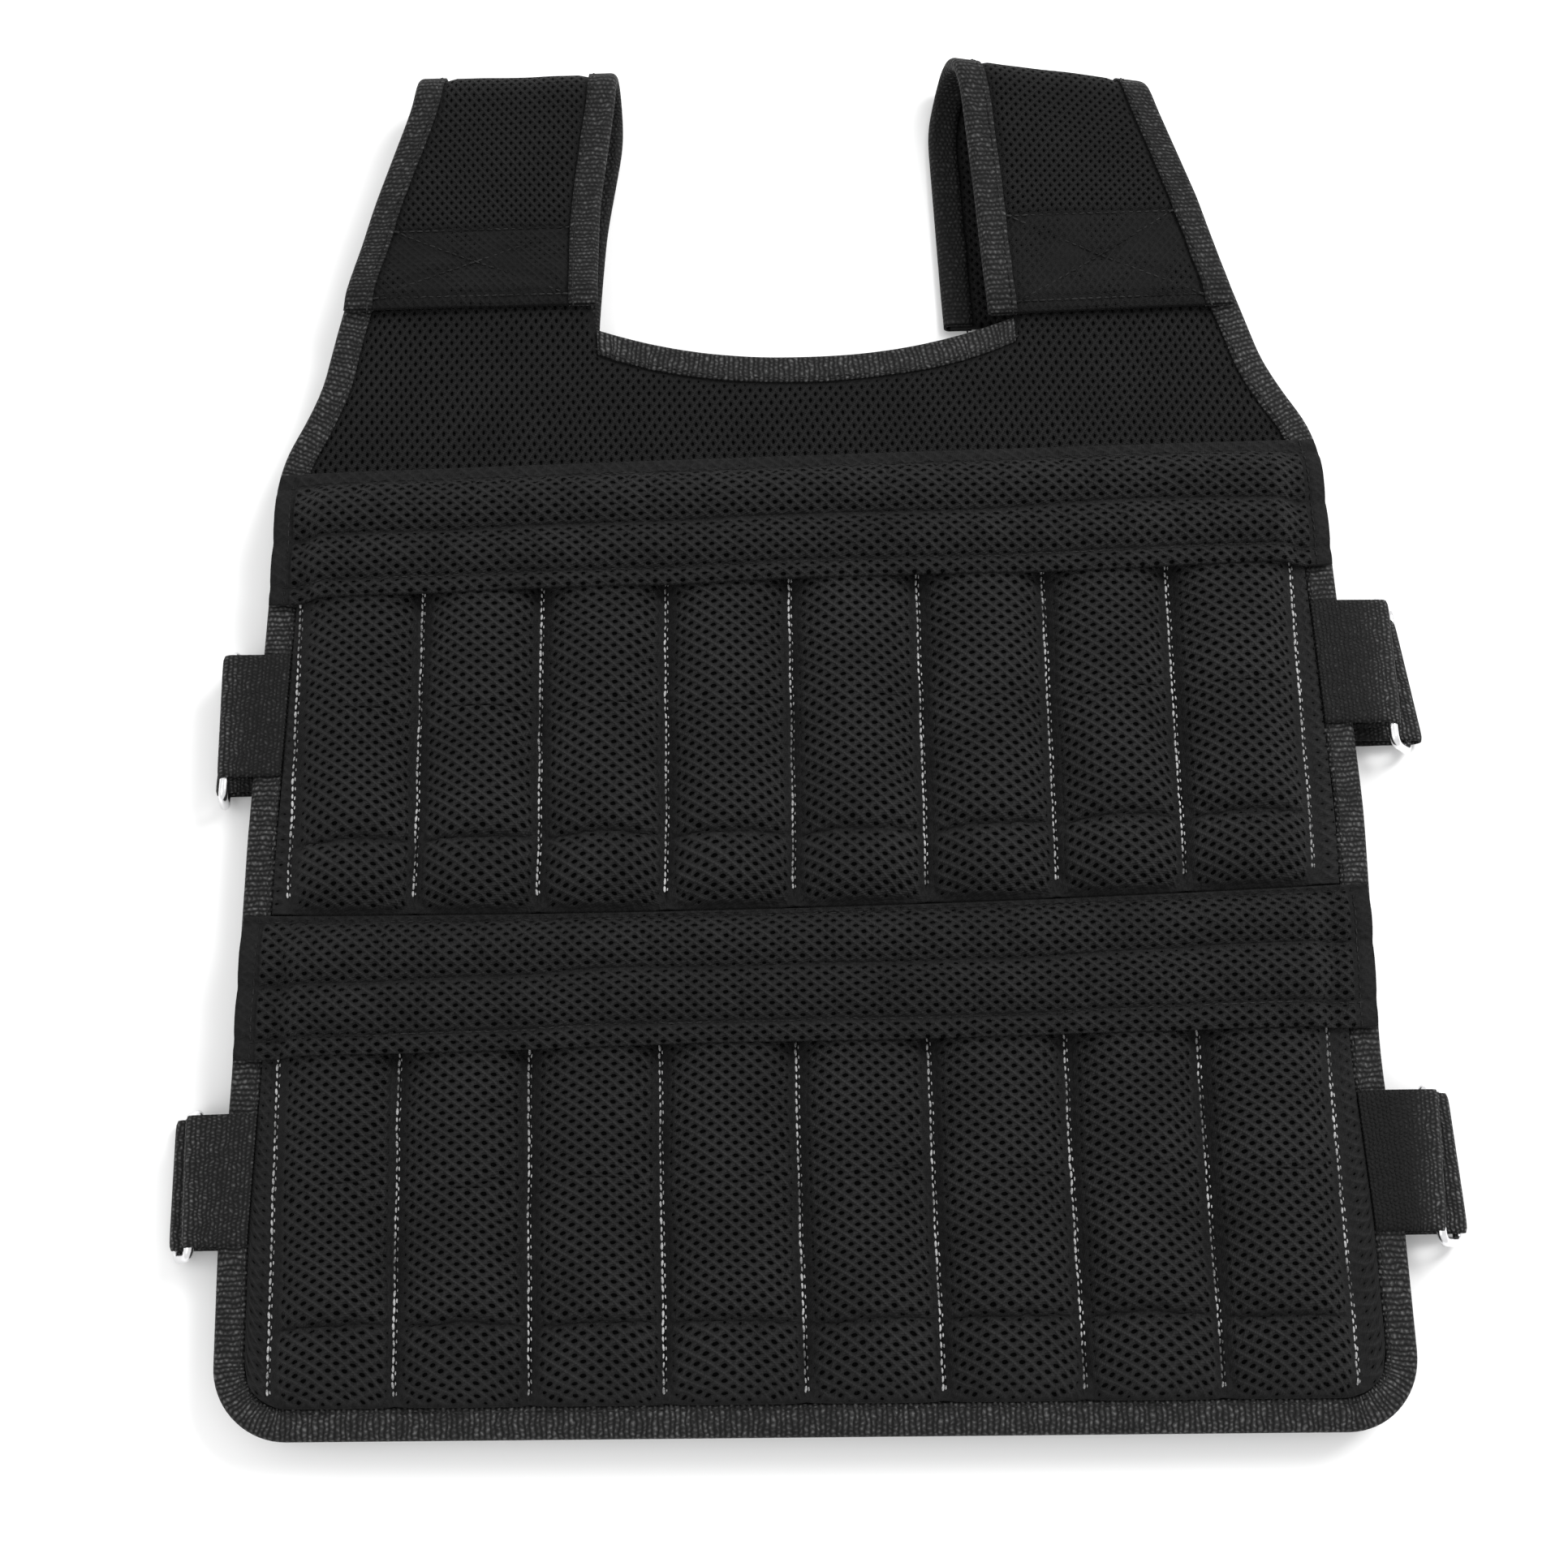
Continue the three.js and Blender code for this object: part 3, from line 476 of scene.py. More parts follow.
def add_relief(w, shader, height, distance):
    bump = w.node("ShaderNodeBump", {"Distance": distance, "Strength": 1.0, "Height": height})
    w.feed(shader.inputs["Normal"], bump.outputs[0])


def grey(value):
    return value, value, value, 1


def air_mesh(name, effect, turned=False, yarn=0.02, hole_size=0.6, across=0.0058, along=0.0047):
    material, w, shader = plain_material(name, roughness=0.8, sheen=0.015)
    press = w.node("ShaderNodeAttribute", attribute_name="press")
    group = w.node("ShaderNodeGroup", {
        "Cloth": cloth_coordinates(w, turned), "Press": press.outputs["Fac"],
        "Pitch Across": across, "Pitch Along": along, "Hole Size": hole_size,
        "Yarn": (yarn, yarn, yarn * 1.01, 1),
    }, node_tree=effect)
    w.feed(shader.inputs["Base Color"], group.outputs["Colour"])
    w.feed(shader.inputs["Specular IOR Level"], group.outputs["Shine"])
    add_relief(w, shader, group.outputs["Height"], 0.0014)
    return material


def woven(name, effect, rib, thread, ribbed, dark, light):
    material, w, shader = plain_material(name, roughness=0.65, specular=0.12, sheen=0.01)
    shaded = w.node("ShaderNodeAttribute", attribute_name="press")
    group = w.node("ShaderNodeGroup", {
        "Cloth": cloth_coordinates(w), "Shaded": shaded.outputs["Fac"],
        "Rib": rib, "Thread": thread, "Ribbed": ribbed, "Dark": grey(dark), "Light": grey(light),
    }, node_tree=effect)
    w.feed(shader.inputs["Base Color"], group.outputs["Colour"])
    add_relief(w, shader, group.outputs["Height"], 0.0006)
    return material


def steel_wire():
    material, w, shader = plain_material("bright_wire", roughness=0.2, specular=0.5, metallic=1.0)
    place_of = w.node("ShaderNodeTexCoord")
    dull = w.noise(place_of.outputs["Object"], 400.0, 4.0)
    w.feed(shader.inputs["Roughness"], w.math("MULTIPLY_ADD", dull, 0.25, 0.1))
    w.feed(shader.inputs["Base Color"], w.blend(dull, (0.62, 0.62, 0.63, 1), (0.86, 0.86, 0.87, 1)))
    add_relief(w, shader, dull, 0.00008)
    return material


def sewing_thread(name, dark, light, specular):
    material, w, shader = plain_material(name, roughness=0.65, specular=specular)
    place_of = w.node("ShaderNodeTexCoord")
    twist = w.noise(place_of.outputs["Object"], 1600.0, 2.0)
    patch = w.noise(place_of.outputs["Object"], 45.0, 4.0)
    share = w.ramp(w.math("MULTIPLY_ADD", patch, 0.7, w.math("MULTIPLY", twist, 0.3)), 0.36, 0.6)
    w.feed(shader.inputs["Base Color"], w.blend(share, grey(dark), grey(light)))
    add_relief(w, shader, twist, 0.0003)
    return material


AIR_MESH = air_mesh_effect()
WOVEN = weave_effect()
MATERIALS = {
    "pocket_mesh": air_mesh("pocket_mesh", AIR_MESH, yarn=0.0125, hole_size=0.62),
    "flap_mesh": air_mesh("flap_mesh", AIR_MESH, yarn=0.0115, hole_size=0.6),
    "yoke_mesh": air_mesh("yoke_mesh", AIR_MESH, turned=True, yarn=0.0068, hole_size=0.56,
                          across=0.0056, along=0.0041),
    "strap_mesh": air_mesh("strap_mesh", AIR_MESH, turned=True, yarn=0.0066, hole_size=0.54,
                           across=0.0046, along=0.0039),
    "binding_tape": woven("binding_tape", WOVEN, 0.002, 0.0019, 0.25, 0.0034, 0.095),
    "webbing": woven("webbing", WOVEN, 0.0017, 0.0016, 0.12, 0.0034, 0.11),
    "bright_wire": steel_wire(),
    "pale_thread": sewing_thread("pale_thread", 0.06, 0.4, 0.25),
    "black_thread": sewing_thread("black_thread", 0.004, 0.022, 0.08),
}


# Stitches

def stitch_tree(material, segments, rings):
    """Geometry Nodes: short stitches laid along a line, each a small bent capsule."""
    tree = bpy.data.node_groups.new("stitches_" + material.name, "GeometryNodeTree")
    tree.interface.new_socket("Geometry", in_out="INPUT", socket_type="NodeSocketGeometry")
    for label, value in (("Spacing", 0.004), ("Stitch Length", 0.003), ("Thread", 0.0011)):
        socket = tree.interface.new_socket(label, in_out="INPUT", socket_type="NodeSocketFloat")
        socket.default_value = value
    seed = tree.interface.new_socket("Seed", in_out="INPUT", socket_type="NodeSocketInt")
    seed.default_value = 3
    tree.interface.new_socket("Geometry", in_out="OUTPUT", socket_type="NodeSocketGeometry")
    w = Wiring(tree)
    given = w.node("NodeGroupInput")
    line = w.node("GeometryNodeMeshToCurve", {"Mesh": given.outputs["Geometry"]})
    points = w.node("GeometryNodeCurveToPoints",
                    {"Curve": line.outputs[0], "Length": given.outputs["Spacing"]}, mode="LENGTH")
    stitch = w.node("GeometryNodeMeshUVSphere", {"Segments": segments, "Rings": rings, "Radius": 0.5})

    thread = given.outputs["Thread"]
    size = w.node("ShaderNodeCombineXYZ", {"X": thread, "Y": thread, "Z": given.outputs["Stitch Length"]})
    vary = w.node("FunctionNodeRandomValue",
                  {"Min": 0.72, "Max": 1.12, "Seed": given.outputs["Seed"]}, data_type="FLOAT")
    scaled = w.node("ShaderNodeVectorMath", {0: size.outputs[0], "Scale": vary.outputs["Value"]},
                    operation="SCALE")
    sway = w.node("FunctionNodeRandomValue",
                  {"Min": (-0.16, -0.16, -0.3), "Max": (0.16, 0.16, 0.3), "Seed": given.outputs["Seed"]},
                  data_type="FLOAT_VECTOR")
    turn = w.node("FunctionNodeEulerToRotation", {0: sway.outputs["Value"]})
    aim = w.node("FunctionNodeRotateRotation",
                 {"Rotation": points.outputs["Rotation"], "Rotate By": turn.outputs[0]},
                 rotation_space="LOCAL")

    laid = w.node("GeometryNodeInstanceOnPoints",
                  {"Points": points.outputs["Points"], "Instance": stitch.outputs["Mesh"],
                   "Rotation": aim.outputs[0], "Scale": scaled.outputs[0]})
    whole = w.node("GeometryNodeRealizeInstances", {0: laid.outputs[0]})
    smooth = w.node("GeometryNodeSetShadeSmooth", {"Geometry": whole.outputs[0]})
    finish = w.node("GeometryNodeSetMaterial", {"Geometry": smooth.outputs[0], "Material": material})
    w.node("NodeGroupOutput", {"Geometry": finish.outputs[0]})
    return tree


def set_input(modifier, label, value):
    for item in modifier.node_group.interface.items_tree:
        if item.in_out == "INPUT" and item.name == label:
            modifier[item.identifier] = value


def sew(name, lines, tree, spacing, length, thread, seed=3):
    """Stitches along lines of points in metres, made a plain mesh."""
    vertices = np.concatenate(lines)
    edges = []
    start = 0
    for line in lines:
        edges += [(start + i, start + i + 1) for i in range(len(line) - 1)]
        start += len(line)
    mesh = bpy.data.meshes.new(name)
    mesh.from_pydata([tuple(v) for v in vertices], edges, [])
    guide = bpy.data.objects.new(name + "_guide", mesh)
    bpy.context.scene.collection.objects.link(guide)
    modifier = guide.modifiers.new("stitches", "NODES")
    modifier.node_group = tree
    for label, value in (("Spacing", spacing), ("Stitch Length", length), ("Thread", thread)):
        set_input(modifier, label, value)
    set_input(modifier, "Seed", seed)
    bpy.context.view_layer.update()
    graph = bpy.context.evaluated_depsgraph_get()
    made = bpy.data.meshes.new_from_object(guide.evaluated_get(graph), depsgraph=graph)
    bpy.data.objects.remove(guide)
    obj = bpy.data.objects.new(name, made)
    bpy.context.scene.collection.objects.link(obj)
    return obj


PALE_STITCHES = stitch_tree(MATERIALS["pale_thread"], 8, 6)
BLACK_STITCHES = stitch_tree(MATERIALS["black_thread"], 6, 5)


# Panels

def panel_grid(neck_depth, rows_below=70, rows_above=34):
    """The plan of a panel: columns along its ears and neckline, rows from the hem to its top edge."""
    rim = np.array([0, 2, 5, 8, COMPRESSED, 13, FULL_LOFT])
    ear_shares = np.concatenate([-rim, np.linspace(0, 1, 15)[1:]])
    neck_x = NECK_CENTRE + NECK_HALF * np.linspace(-1, 1, 35)
    hem = CORNER_RADIUS * (1 - np.cos(np.linspace(0, math.pi / 2, 12)))
    low = np.concatenate([hem, np.linspace(CORNER_RADIUS, YOKE_FOOT, rows_below)[1:]])
    shares = np.linspace(0, 1, rows_above)[1:]
    columns = []

    def column(reach_of, top):
        y = np.concatenate([low, YOKE_FOOT + (top - YOKE_FOOT) * shares])
        columns.append((reach_of(y), y, np.full_like(y, top)))

    for share in ear_shares:
        column(lambda y: -ear_column(y, share, EAR_SETBACK - neck_x[0]), EAR_TOP)
    for x in neck_x:
        column(lambda y: np.full_like(y, x), float(neckline(x, neck_depth)))
    for share in ear_shares[::-1]:
        column(lambda y: ear_column(y, share, EAR_SETBACK + neck_x[-1]), EAR_TOP)
    return (np.array(grid).T for grid in zip(*columns))


def ear_column(y, share, ear):
    """Reach of a column beside the neck: a depth inside the edge if negative, else a share of the way in."""
    edge = edge_reach(y) - TAPE_TUCK
    if share <= 0:
        return edge + share
    start = edge - FULL_LOFT
    return start + (ear - start) * share


def depth_inside(x, y, top):
    side = side_edge(y) - np.abs(x)
    arc = CORNER_RADIUS - np.hypot(CORNER_RADIUS - side, CORNER_RADIUS - y)
    in_corner = (side < CORNER_RADIUS) & (y < CORNER_RADIUS)
    return np.where(in_corner, arc, np.minimum(np.minimum(side, y), top - y))


def make_panel(name, neck_depth, level, roughen, seed):
    x, y, top = panel_grid(neck_depth)
    inset = TAPE_TUCK * smoothstep(y, top - 30, top)
    foot = TAPE_TUCK * (1 - smoothstep(y, 0, 30))
    plan_y = y - inset + foot
    depth = depth_inside(x, plan_y, top)
    loft = smoothstep(depth, TAPE_COVER, FULL_LOFT + 3)
    thick = EDGE_THICK + (PANEL_THICK - EDGE_THICK) * loft
    middle = level(x, plan_y) + roughen * loft * waves(x, y, 70, seed)
    upper = place(x, plan_y, middle + thick / 2)
    lower = place(x, plan_y, middle - thick / 2)
    press = 1 - smoothstep(depth, TAPE_COVER, TAPE_COVER + 3)
    panel = cloth_shell(name + "_cloth", upper, lower, cloth_uv(x, plan_y), MATERIALS["yoke_mesh"], press)
    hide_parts(name)
    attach(panel, "root")


make_panel("front_panel", FRONT_NECK_DEPTH, lambda x, y: front_level(x), 0.5, 11)
make_panel("back_panel", BACK_NECK_DEPTH, back_level, 0.0, 12)


# Binding tape

def tape_section():
    """Closed section of a folded tape: round the outside, then back round the inside."""
    nose = EDGE_THICK / 2
    turns = np.linspace(-math.pi / 2, math.pi / 2, 11)

    def course(radius, ends):
        arc = np.stack([radius * np.cos(turns) - nose, radius * np.sin(turns)], axis=1)
        first = np.stack([np.linspace(-ends, -nose - 1.5, 5), np.full(5, -radius)], axis=1)
        last = np.stack([np.linspace(-nose - 1.5, -ends, 5), np.full(5, radius)], axis=1)
        return np.concatenate([first, arc, last])

    middle = EDGE_THICK / 2 + SEWN_GAP + TAPE_THICK / 2
    outer = course(middle + TAPE_THICK / 2, TAPE_COVER)
    inner = course(middle - TAPE_THICK / 2, TAPE_COVER)
    return outer, inner


TAPE_OUTER, TAPE_INNER = tape_section()
TAPE_LOOP = np.concatenate([TAPE_OUTER, TAPE_INNER[::-1]])


def swept_tape(name, edge, outward, lay, uneven=0.35, seed=1, shade=0.0):
    """A tape folded over an edge. edge and outward are plan points of each station, lay places a point.

    shade is how far the tape is painted darker at each station: painted shade.
    """
    stations = len(edge)
    along = arc_lengths(edge)
    width = len(TAPE_LOOP)
    v_outer = arc_lengths(TAPE_OUTER)
    v = np.concatenate([v_outer, v_outer[::-1]])
    hems = np.clip(-TAPE_LOOP[:, 0] / TAPE_COVER, 0, 1) ** 3
    wander = uneven * waves(along, 0 * along, 45, seed)
    out = TAPE_LOOP[None, :, 0] - wander[:, None] * hems[None, :]
    up = TAPE_LOOP[None, :, 1] * (1 + 0.05 * waves(along, 0 * along, 25, seed + 1)[:, None])
    plan = edge[:, None, :] + outward[:, None, :] * out[:, :, None]
    points = lay(plan[..., 0], plan[..., 1], out, up, along[:, None])
    vertices = points.reshape(-1, 3)
    index = np.arange(stations * width).reshape(stations, width)
    after = np.roll(index, -1, axis=1)
    sides = np.stack([index[:-1], index[1:], after[1:], after[:-1]], axis=-1).reshape(-1, 4)
    half = len(TAPE_OUTER)
    caps = []
    for station, flip in ((0, False), (stations - 1, True)):
        ring = index[station]
        for i in range(half - 1):
            quad = [ring[i], ring[i + 1], ring[width - 2 - i], ring[width - 1 - i]]
            caps.append(quad[::-1] if flip else quad)
    uv = cloth_uv(along[:, None], v[None, :])
    tape = new_object(name + "_tape", vertices, np.concatenate([sides, np.array(caps)]), uv.reshape(-1, 2),
                      MATERIALS["binding_tape"], np.repeat(shade + 0 * along, width))
    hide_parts(name)
    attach(tape, "root")
    sew_tape(name, edge, outward, lay, along)


def sew_tape(name, edge, outward, lay, along):
    """The black seam near a tape's hem, on its upper side."""
    out = np.full((len(edge), 1), TAPE_SEAM - TAPE_COVER)
    plan = edge[:, None, :] + outward[:, None, :] * out[:, :, None]
    line = lay(plan[..., 0], plan[..., 1], out, np.full_like(out, BINDING_HALF + 0.1), along[:, None])
    thread = sew(name + "_seam", [line[:, 0]], BLACK_STITCHES, 0.0037, 0.0028, 0.0008)
    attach(thread, "root")


def panel_edge():
    """Down the left side, along the hem and up the right side, seen from above."""
    y_side = np.linspace(EAR_TOP, CORNER_RADIUS, 150)
    left = np.stack([-side_edge(y_side), y_side], axis=1)
    turns = np.linspace(math.pi, 1.5 * math.pi, 18)[1:-1]
    reach = float(side_edge(CORNER_RADIUS)) - CORNER_RADIUS
    arc = np.stack([-reach + CORNER_RADIUS * np.cos(turns), CORNER_RADIUS * (1 + np.sin(turns))], axis=1)
    hem_x = np.linspace(-reach, reach, 100)
    hem = np.stack([hem_x, 0 * hem_x], axis=1)
    mirrored = arc[::-1] * np.array([-1, 1])
    right = left[::-1] * np.array([-1, 1])
    return np.concatenate([left, arc, hem, mirrored, right])


def make_edge_bindings():
    edge = panel_edge()
    outward = outward_of(edge)
    swept_tape("front_binding", edge, outward,
               lambda x, y, out, up, along: place(x, y, front_level(x) + up), seed=21)
    swept_tape("back_binding", edge, outward,
               lambda x, y, out, up, along: place(x, y, np.maximum(back_level(x, y), BINDING_HALF) + up),
               uneven=0.0, seed=22)


def make_neck_bindings():
    for name, depth, level in (
        ("front_neck_binding", FRONT_NECK_DEPTH, lambda x, y: front_level(x)),
        ("back_neck_binding", BACK_NECK_DEPTH, back_level),
    ):
        x = NECK_CENTRE + NECK_HALF * np.linspace(1, -1, 90)
        edge = np.stack([x, neckline(x, depth)], axis=1)
        outward = outward_of(edge)
        outward[:4] = outward[-4:] = (0, 1)
        outward[4:12] = outward[4:12] * 0.5 + np.array([0, 0.5])
        outward[-12:-4] = outward[-12:-4] * 0.5 + np.array([0, 0.5])
        swept_tape(name, edge, outward,
                   lambda x, y, out, up, along, at=level: place(x, y, at(x, y) + up), seed=len(name))


make_edge_bindings()
make_neck_bindings()


# Pocket rows

ROWS = {
    "upper": dict(bottom=UPPER_POCKET_BOTTOM, seam=UPPER_SEAM, seed=31),
    "lower": dict(bottom=LOWER_POCKET_BOTTOM, seam=LOWER_SEAM, seed=41),
}
# How far each seam strays sideways from an even spacing
SEAMS_ASTRAY = {
    "upper": (-0.5, -2, -4, -4.2, -4.6, -3.4, -3, -3.3, -3.3),
    "lower": (0, -4.2, -4.6, -5, -3.4, -3.3, -1.6, -1.1, -1.8),
}
RISE_UP = (0, 0.012, 0.03, 0.075, 0.13, 0.48, 0.74, 1)
RISE = (0, 0.3, 0.55, 0.86, 0.95, 1, 0.94, 0.72)
POCKET_CREASE = 27.5
CELL_COLUMNS = 22
MARGIN_COLUMNS = 6
FIRST_STITCHED_ROW = {"upper": 8, "lower": 5}
HEM_ALLOWANCE = {"upper": 1.5, "lower": 0.3}
NO_TOP = 1000
POCKETS_HALF = POCKETS * POCKET_WIDTH / 2


def pocket_arch(across):
    """Rise across one pocket, from its left seam at 0 to its right one at 1, with a slacker left flank."""
    t = np.abs(2 * across - 1)
    return np.where(across < 0.5, (1 - t ** 2.5) ** 0.95, (1 - t ** 3.4) ** 0.75)


def sheet_foot(x, bottom):
    inner = CORNER_RADIUS - LOWER_POCKET_BOTTOM
    past = np.clip(np.abs(x) - float(side_edge(CORNER_RADIUS)) + CORNER_RADIUS, 0, inner)
    return np.maximum(bottom, CORNER_RADIUS - np.sqrt(inner ** 2 - past ** 2))


def middle_sag(x):
    """How far the seam between the upper pockets and the lower flap hangs below its straight line."""
    return 3.5 + 3.5 * (1 - (np.asarray(x, float) / HALF_WIDTH) ** 2)


def seam_places(row):
    even = np.linspace(-POCKETS_HALF, POCKETS_HALF, POCKETS + 1)
    return even + np.array(SEAMS_ASTRAY[row])


def pocket_columns():
    """Places of the grid's columns between the outer seams: the pocket, and the share across it."""
    cells = []
    for pocket in range(POCKETS):
        for step in range(CELL_COLUMNS):
            cells.append((pocket, 0.5 - 0.5 * math.cos(math.pi * (0.08 + 0.84 * step / CELL_COLUMNS))
                          if step else 0.0))
    cells.append((POCKETS - 1, 1.0))
    return cells


def make_pocket_row(row, bottom, seam, seed):
    mouth = seam - MOUTH_BELOW_SEAM
    rows = 120
    share = np.linspace(0, 1, rows) ** 1.15
    cells = pocket_columns()
    margin_steps = np.linspace(1, 0, MARGIN_COLUMNS + 1)[:-1]
    no_rise = np.zeros(MARGIN_COLUMNS)
    seams = seam_places(row)
    x_cell = np.array([seams[pocket] + across * (seams[pocket + 1] - seams[pocket])
                       for pocket, across in cells])
    arch = np.array([pocket_arch(across) for _, across in cells])
    y_level = bottom + (mouth - bottom) * share
    edge = edge_reach(np.maximum(y_level, CORNER_RADIUS))
    end = edge - TAPE_COVER - 2 * SEWN_GAP
    left = seams[0] - (end[:, None] + seams[0]) * margin_steps[None, :]
    right = seams[-1] + (end[:, None] - seams[-1]) * margin_steps[None, ::-1]
    middle = np.broadcast_to(x_cell, (rows, len(cells)))
    x = np.concatenate([left, middle, right], axis=1)
    full_arch = np.concatenate([no_rise, arch, no_rise])[None, :]
    bow = np.array([1 - (2 * across - 1) ** 2 for _, across in cells])
    full_bow = np.concatenate([no_rise, bow, no_rise])[None, :]
    bottom = bottom - (middle_sag(x) if row == "upper" else 0 * x)
    foot = sheet_foot(x, bottom)
    y = foot + (mouth - foot) * share[:, None]
    rise = np.interp(share, RISE_UP, RISE)[:, None] * POCKET_BULGE
    loft = np.clip((depth_inside(x, y, NO_TOP) + 1.6 - COMPRESSED) / (FULL_LOFT - COMPRESSED), 0, 1)
    base = front_level(x) + (EDGE_THICK + (PANEL_THICK - EDGE_THICK) * loft) / 2 + SEWN_GAP
    plump = 1 + 0.05 * waves(x, y, 90, seed)
    pucker = 0.25 * waves(x * 3, y, 7, seed + 5, 1) * (full_arch < 0.55) * (full_arch > 0.02)
    crease_y = bottom + POCKET_CREASE + 1.6 * waves(x, 0 * x, 110, seed + 3) + 2.6 * (full_arch - 0.5)
    crease = np.exp(-((y - crease_y) / 1.6) ** 2)
    beside_crease = np.exp(-((y - crease_y) / 5) ** 2)
    under = base + full_arch * (rise * plump - 1.6 * crease - 1.0 * beside_crease) + pucker * full_arch
    sheet = place(x, y, under + POCKET_SHEET / 2)
    held = (full_arch < 0.02) | (share[:, None] < 0.01) | (y > seam - FLAP_DEPTH + 2) | (crease > 0.8)
    settled = filled_out("pocket_row_" + row, sheet, held, 5.0, 0.035, 1.4 * MM)
    half_wall = sheet_normals(settled) * POCKET_SHEET / 2 * MM
    upper, lower = settled + half_wall, settled - half_wall
    floor_level = place(x, y, base)[..., 2]
    lower[..., 2] = np.maximum(lower[..., 2], floor_level)
    widths = arc_lengths(np.stack([x[rows // 2], under[rows // 2]], axis=1))
    lengths = (y_level - y_level[0])[:, None] + 0 * x
    gathered = 3 + 5 * np.exp(-lengths / 55) - 3 * np.exp(-(lengths[-1] - lengths) / 60)
    lengths = lengths + gathered * (0.6 - full_bow)
    past_seam = x - seams[np.argmin(np.abs(x[..., None] - seams), axis=-1)]
    near_seam = smoothstep(past_seam, -4.2, -2.4) * (1 - smoothstep(past_seam, 3.8, 5.6))
    near_bottom = 1 - smoothstep(y - bottom, HEM_ALLOWANCE[row], HEM_ALLOWANCE[row] + 2)
    outside = np.maximum(smoothstep(-x, -seams[0] - 1, -seams[0] + 1),
                         smoothstep(x, seams[-1] - 1, seams[-1] + 1)) * 0.6
    # Along the pocket's crease the press shuts the holes and paints the fold dark: pressed cloth, and
    # painted shade in the crease.
    press = np.maximum(np.maximum(near_seam, near_bottom), np.maximum(outside, 0.95 * crease))
    name = "pocket_row_" + row
    piece = cloth_shell(name + "_cloth", upper, lower, cloth_uv(widths, lengths),
                        MATERIALS["pocket_mesh"], press)
    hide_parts(name)
    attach(piece, "root")
    sew_pockets(row, upper, seed)


def sheet_normals(grid):
    across = np.gradient(grid, axis=1)
    along = np.gradient(grid, axis=0)
    normal = np.cross(across, along)
    return normal / np.maximum(np.linalg.norm(normal, axis=-1, keepdims=True), 1e-12)


def sew_pockets(row, upper, seed):
    """The pale seams between the pockets, from the grid's own columns: a heavy line and a fine one."""
    heavy, fine = [], []
    for seam in range(POCKETS + 1):
        column = MARGIN_COLUMNS + seam * CELL_COLUMNS
        near = upper[FIRST_STITCHED_ROW[row]:, column - 5:column + 6]
        height = near[:, 5, 1] / MM
        sway = 0.25 * waves(height, 0 * height + 50 * seam, 30, seed)
        for lines, aside, lift in ((heavy, -0.5, 0.3), (fine, 0.55, 0.15)):
            x = near[:, 5, 0] + (aside + sway) * MM
            z = [np.interp(at, points[:, 0], points[:, 2]) for at, points in zip(x, near)]
            lines.append(np.stack([x, near[:, 5, 1], np.array(z) + lift * MM], axis=1))
    for name, lines, spacing, length, thick in (
        ("pocket_seams_", heavy, 0.003, 0.0025, 0.00105),
        ("pocket_seam_backs_", fine, 0.0038, 0.0015, 0.0006),
    ):
        thread = sew(name + row, lines, PALE_STITCHES, spacing, length, thick, seed)
        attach(thread, "root")


for row, sizes in ROWS.items():
    make_pocket_row(row, **sizes)


# Flaps

QUILT_DOWN = (0, 0.03, 0.06, 0.1, 0.17, 0.3, 0.42, 0.48, 0.515, 0.55, 0.63, 0.72, 0.81, 0.85, 0.872, 0.895,
              0.93, 0.97, 1)
QUILT = (0.35, 0.55, 0.5, 0.24, 0.8, 1, 0.88, 0.6, 0.3, 0.6, 0.92, 0.97, 0.78, 0.45, 0.22, 0.45,
         0.62, 0.58, 0.4)
CREASES = (0.1, 0.515, 0.872)
# How far each flap's lower edge hangs below its seam, from its left end to its right one, the share of
# it that its sewn band takes, and how much its creases are drawn up at both ends
FLAP_SPREAD = (-1, -0.6, -0.3, 0, 0.5, 1)
FLAPS = {
    "upper": dict(hang=(60.5, 60, 57, 55.5, 56.5, 53.5), band=0.1, drawn_up=(-0.035, 0)),
    "lower": dict(hang=(51, 53.5, 56.5, 56.7, 56.7, 56), band=0.045, drawn_up=(-0.015, 0.055)),
}
SEAM_CLEARANCE = 0.8


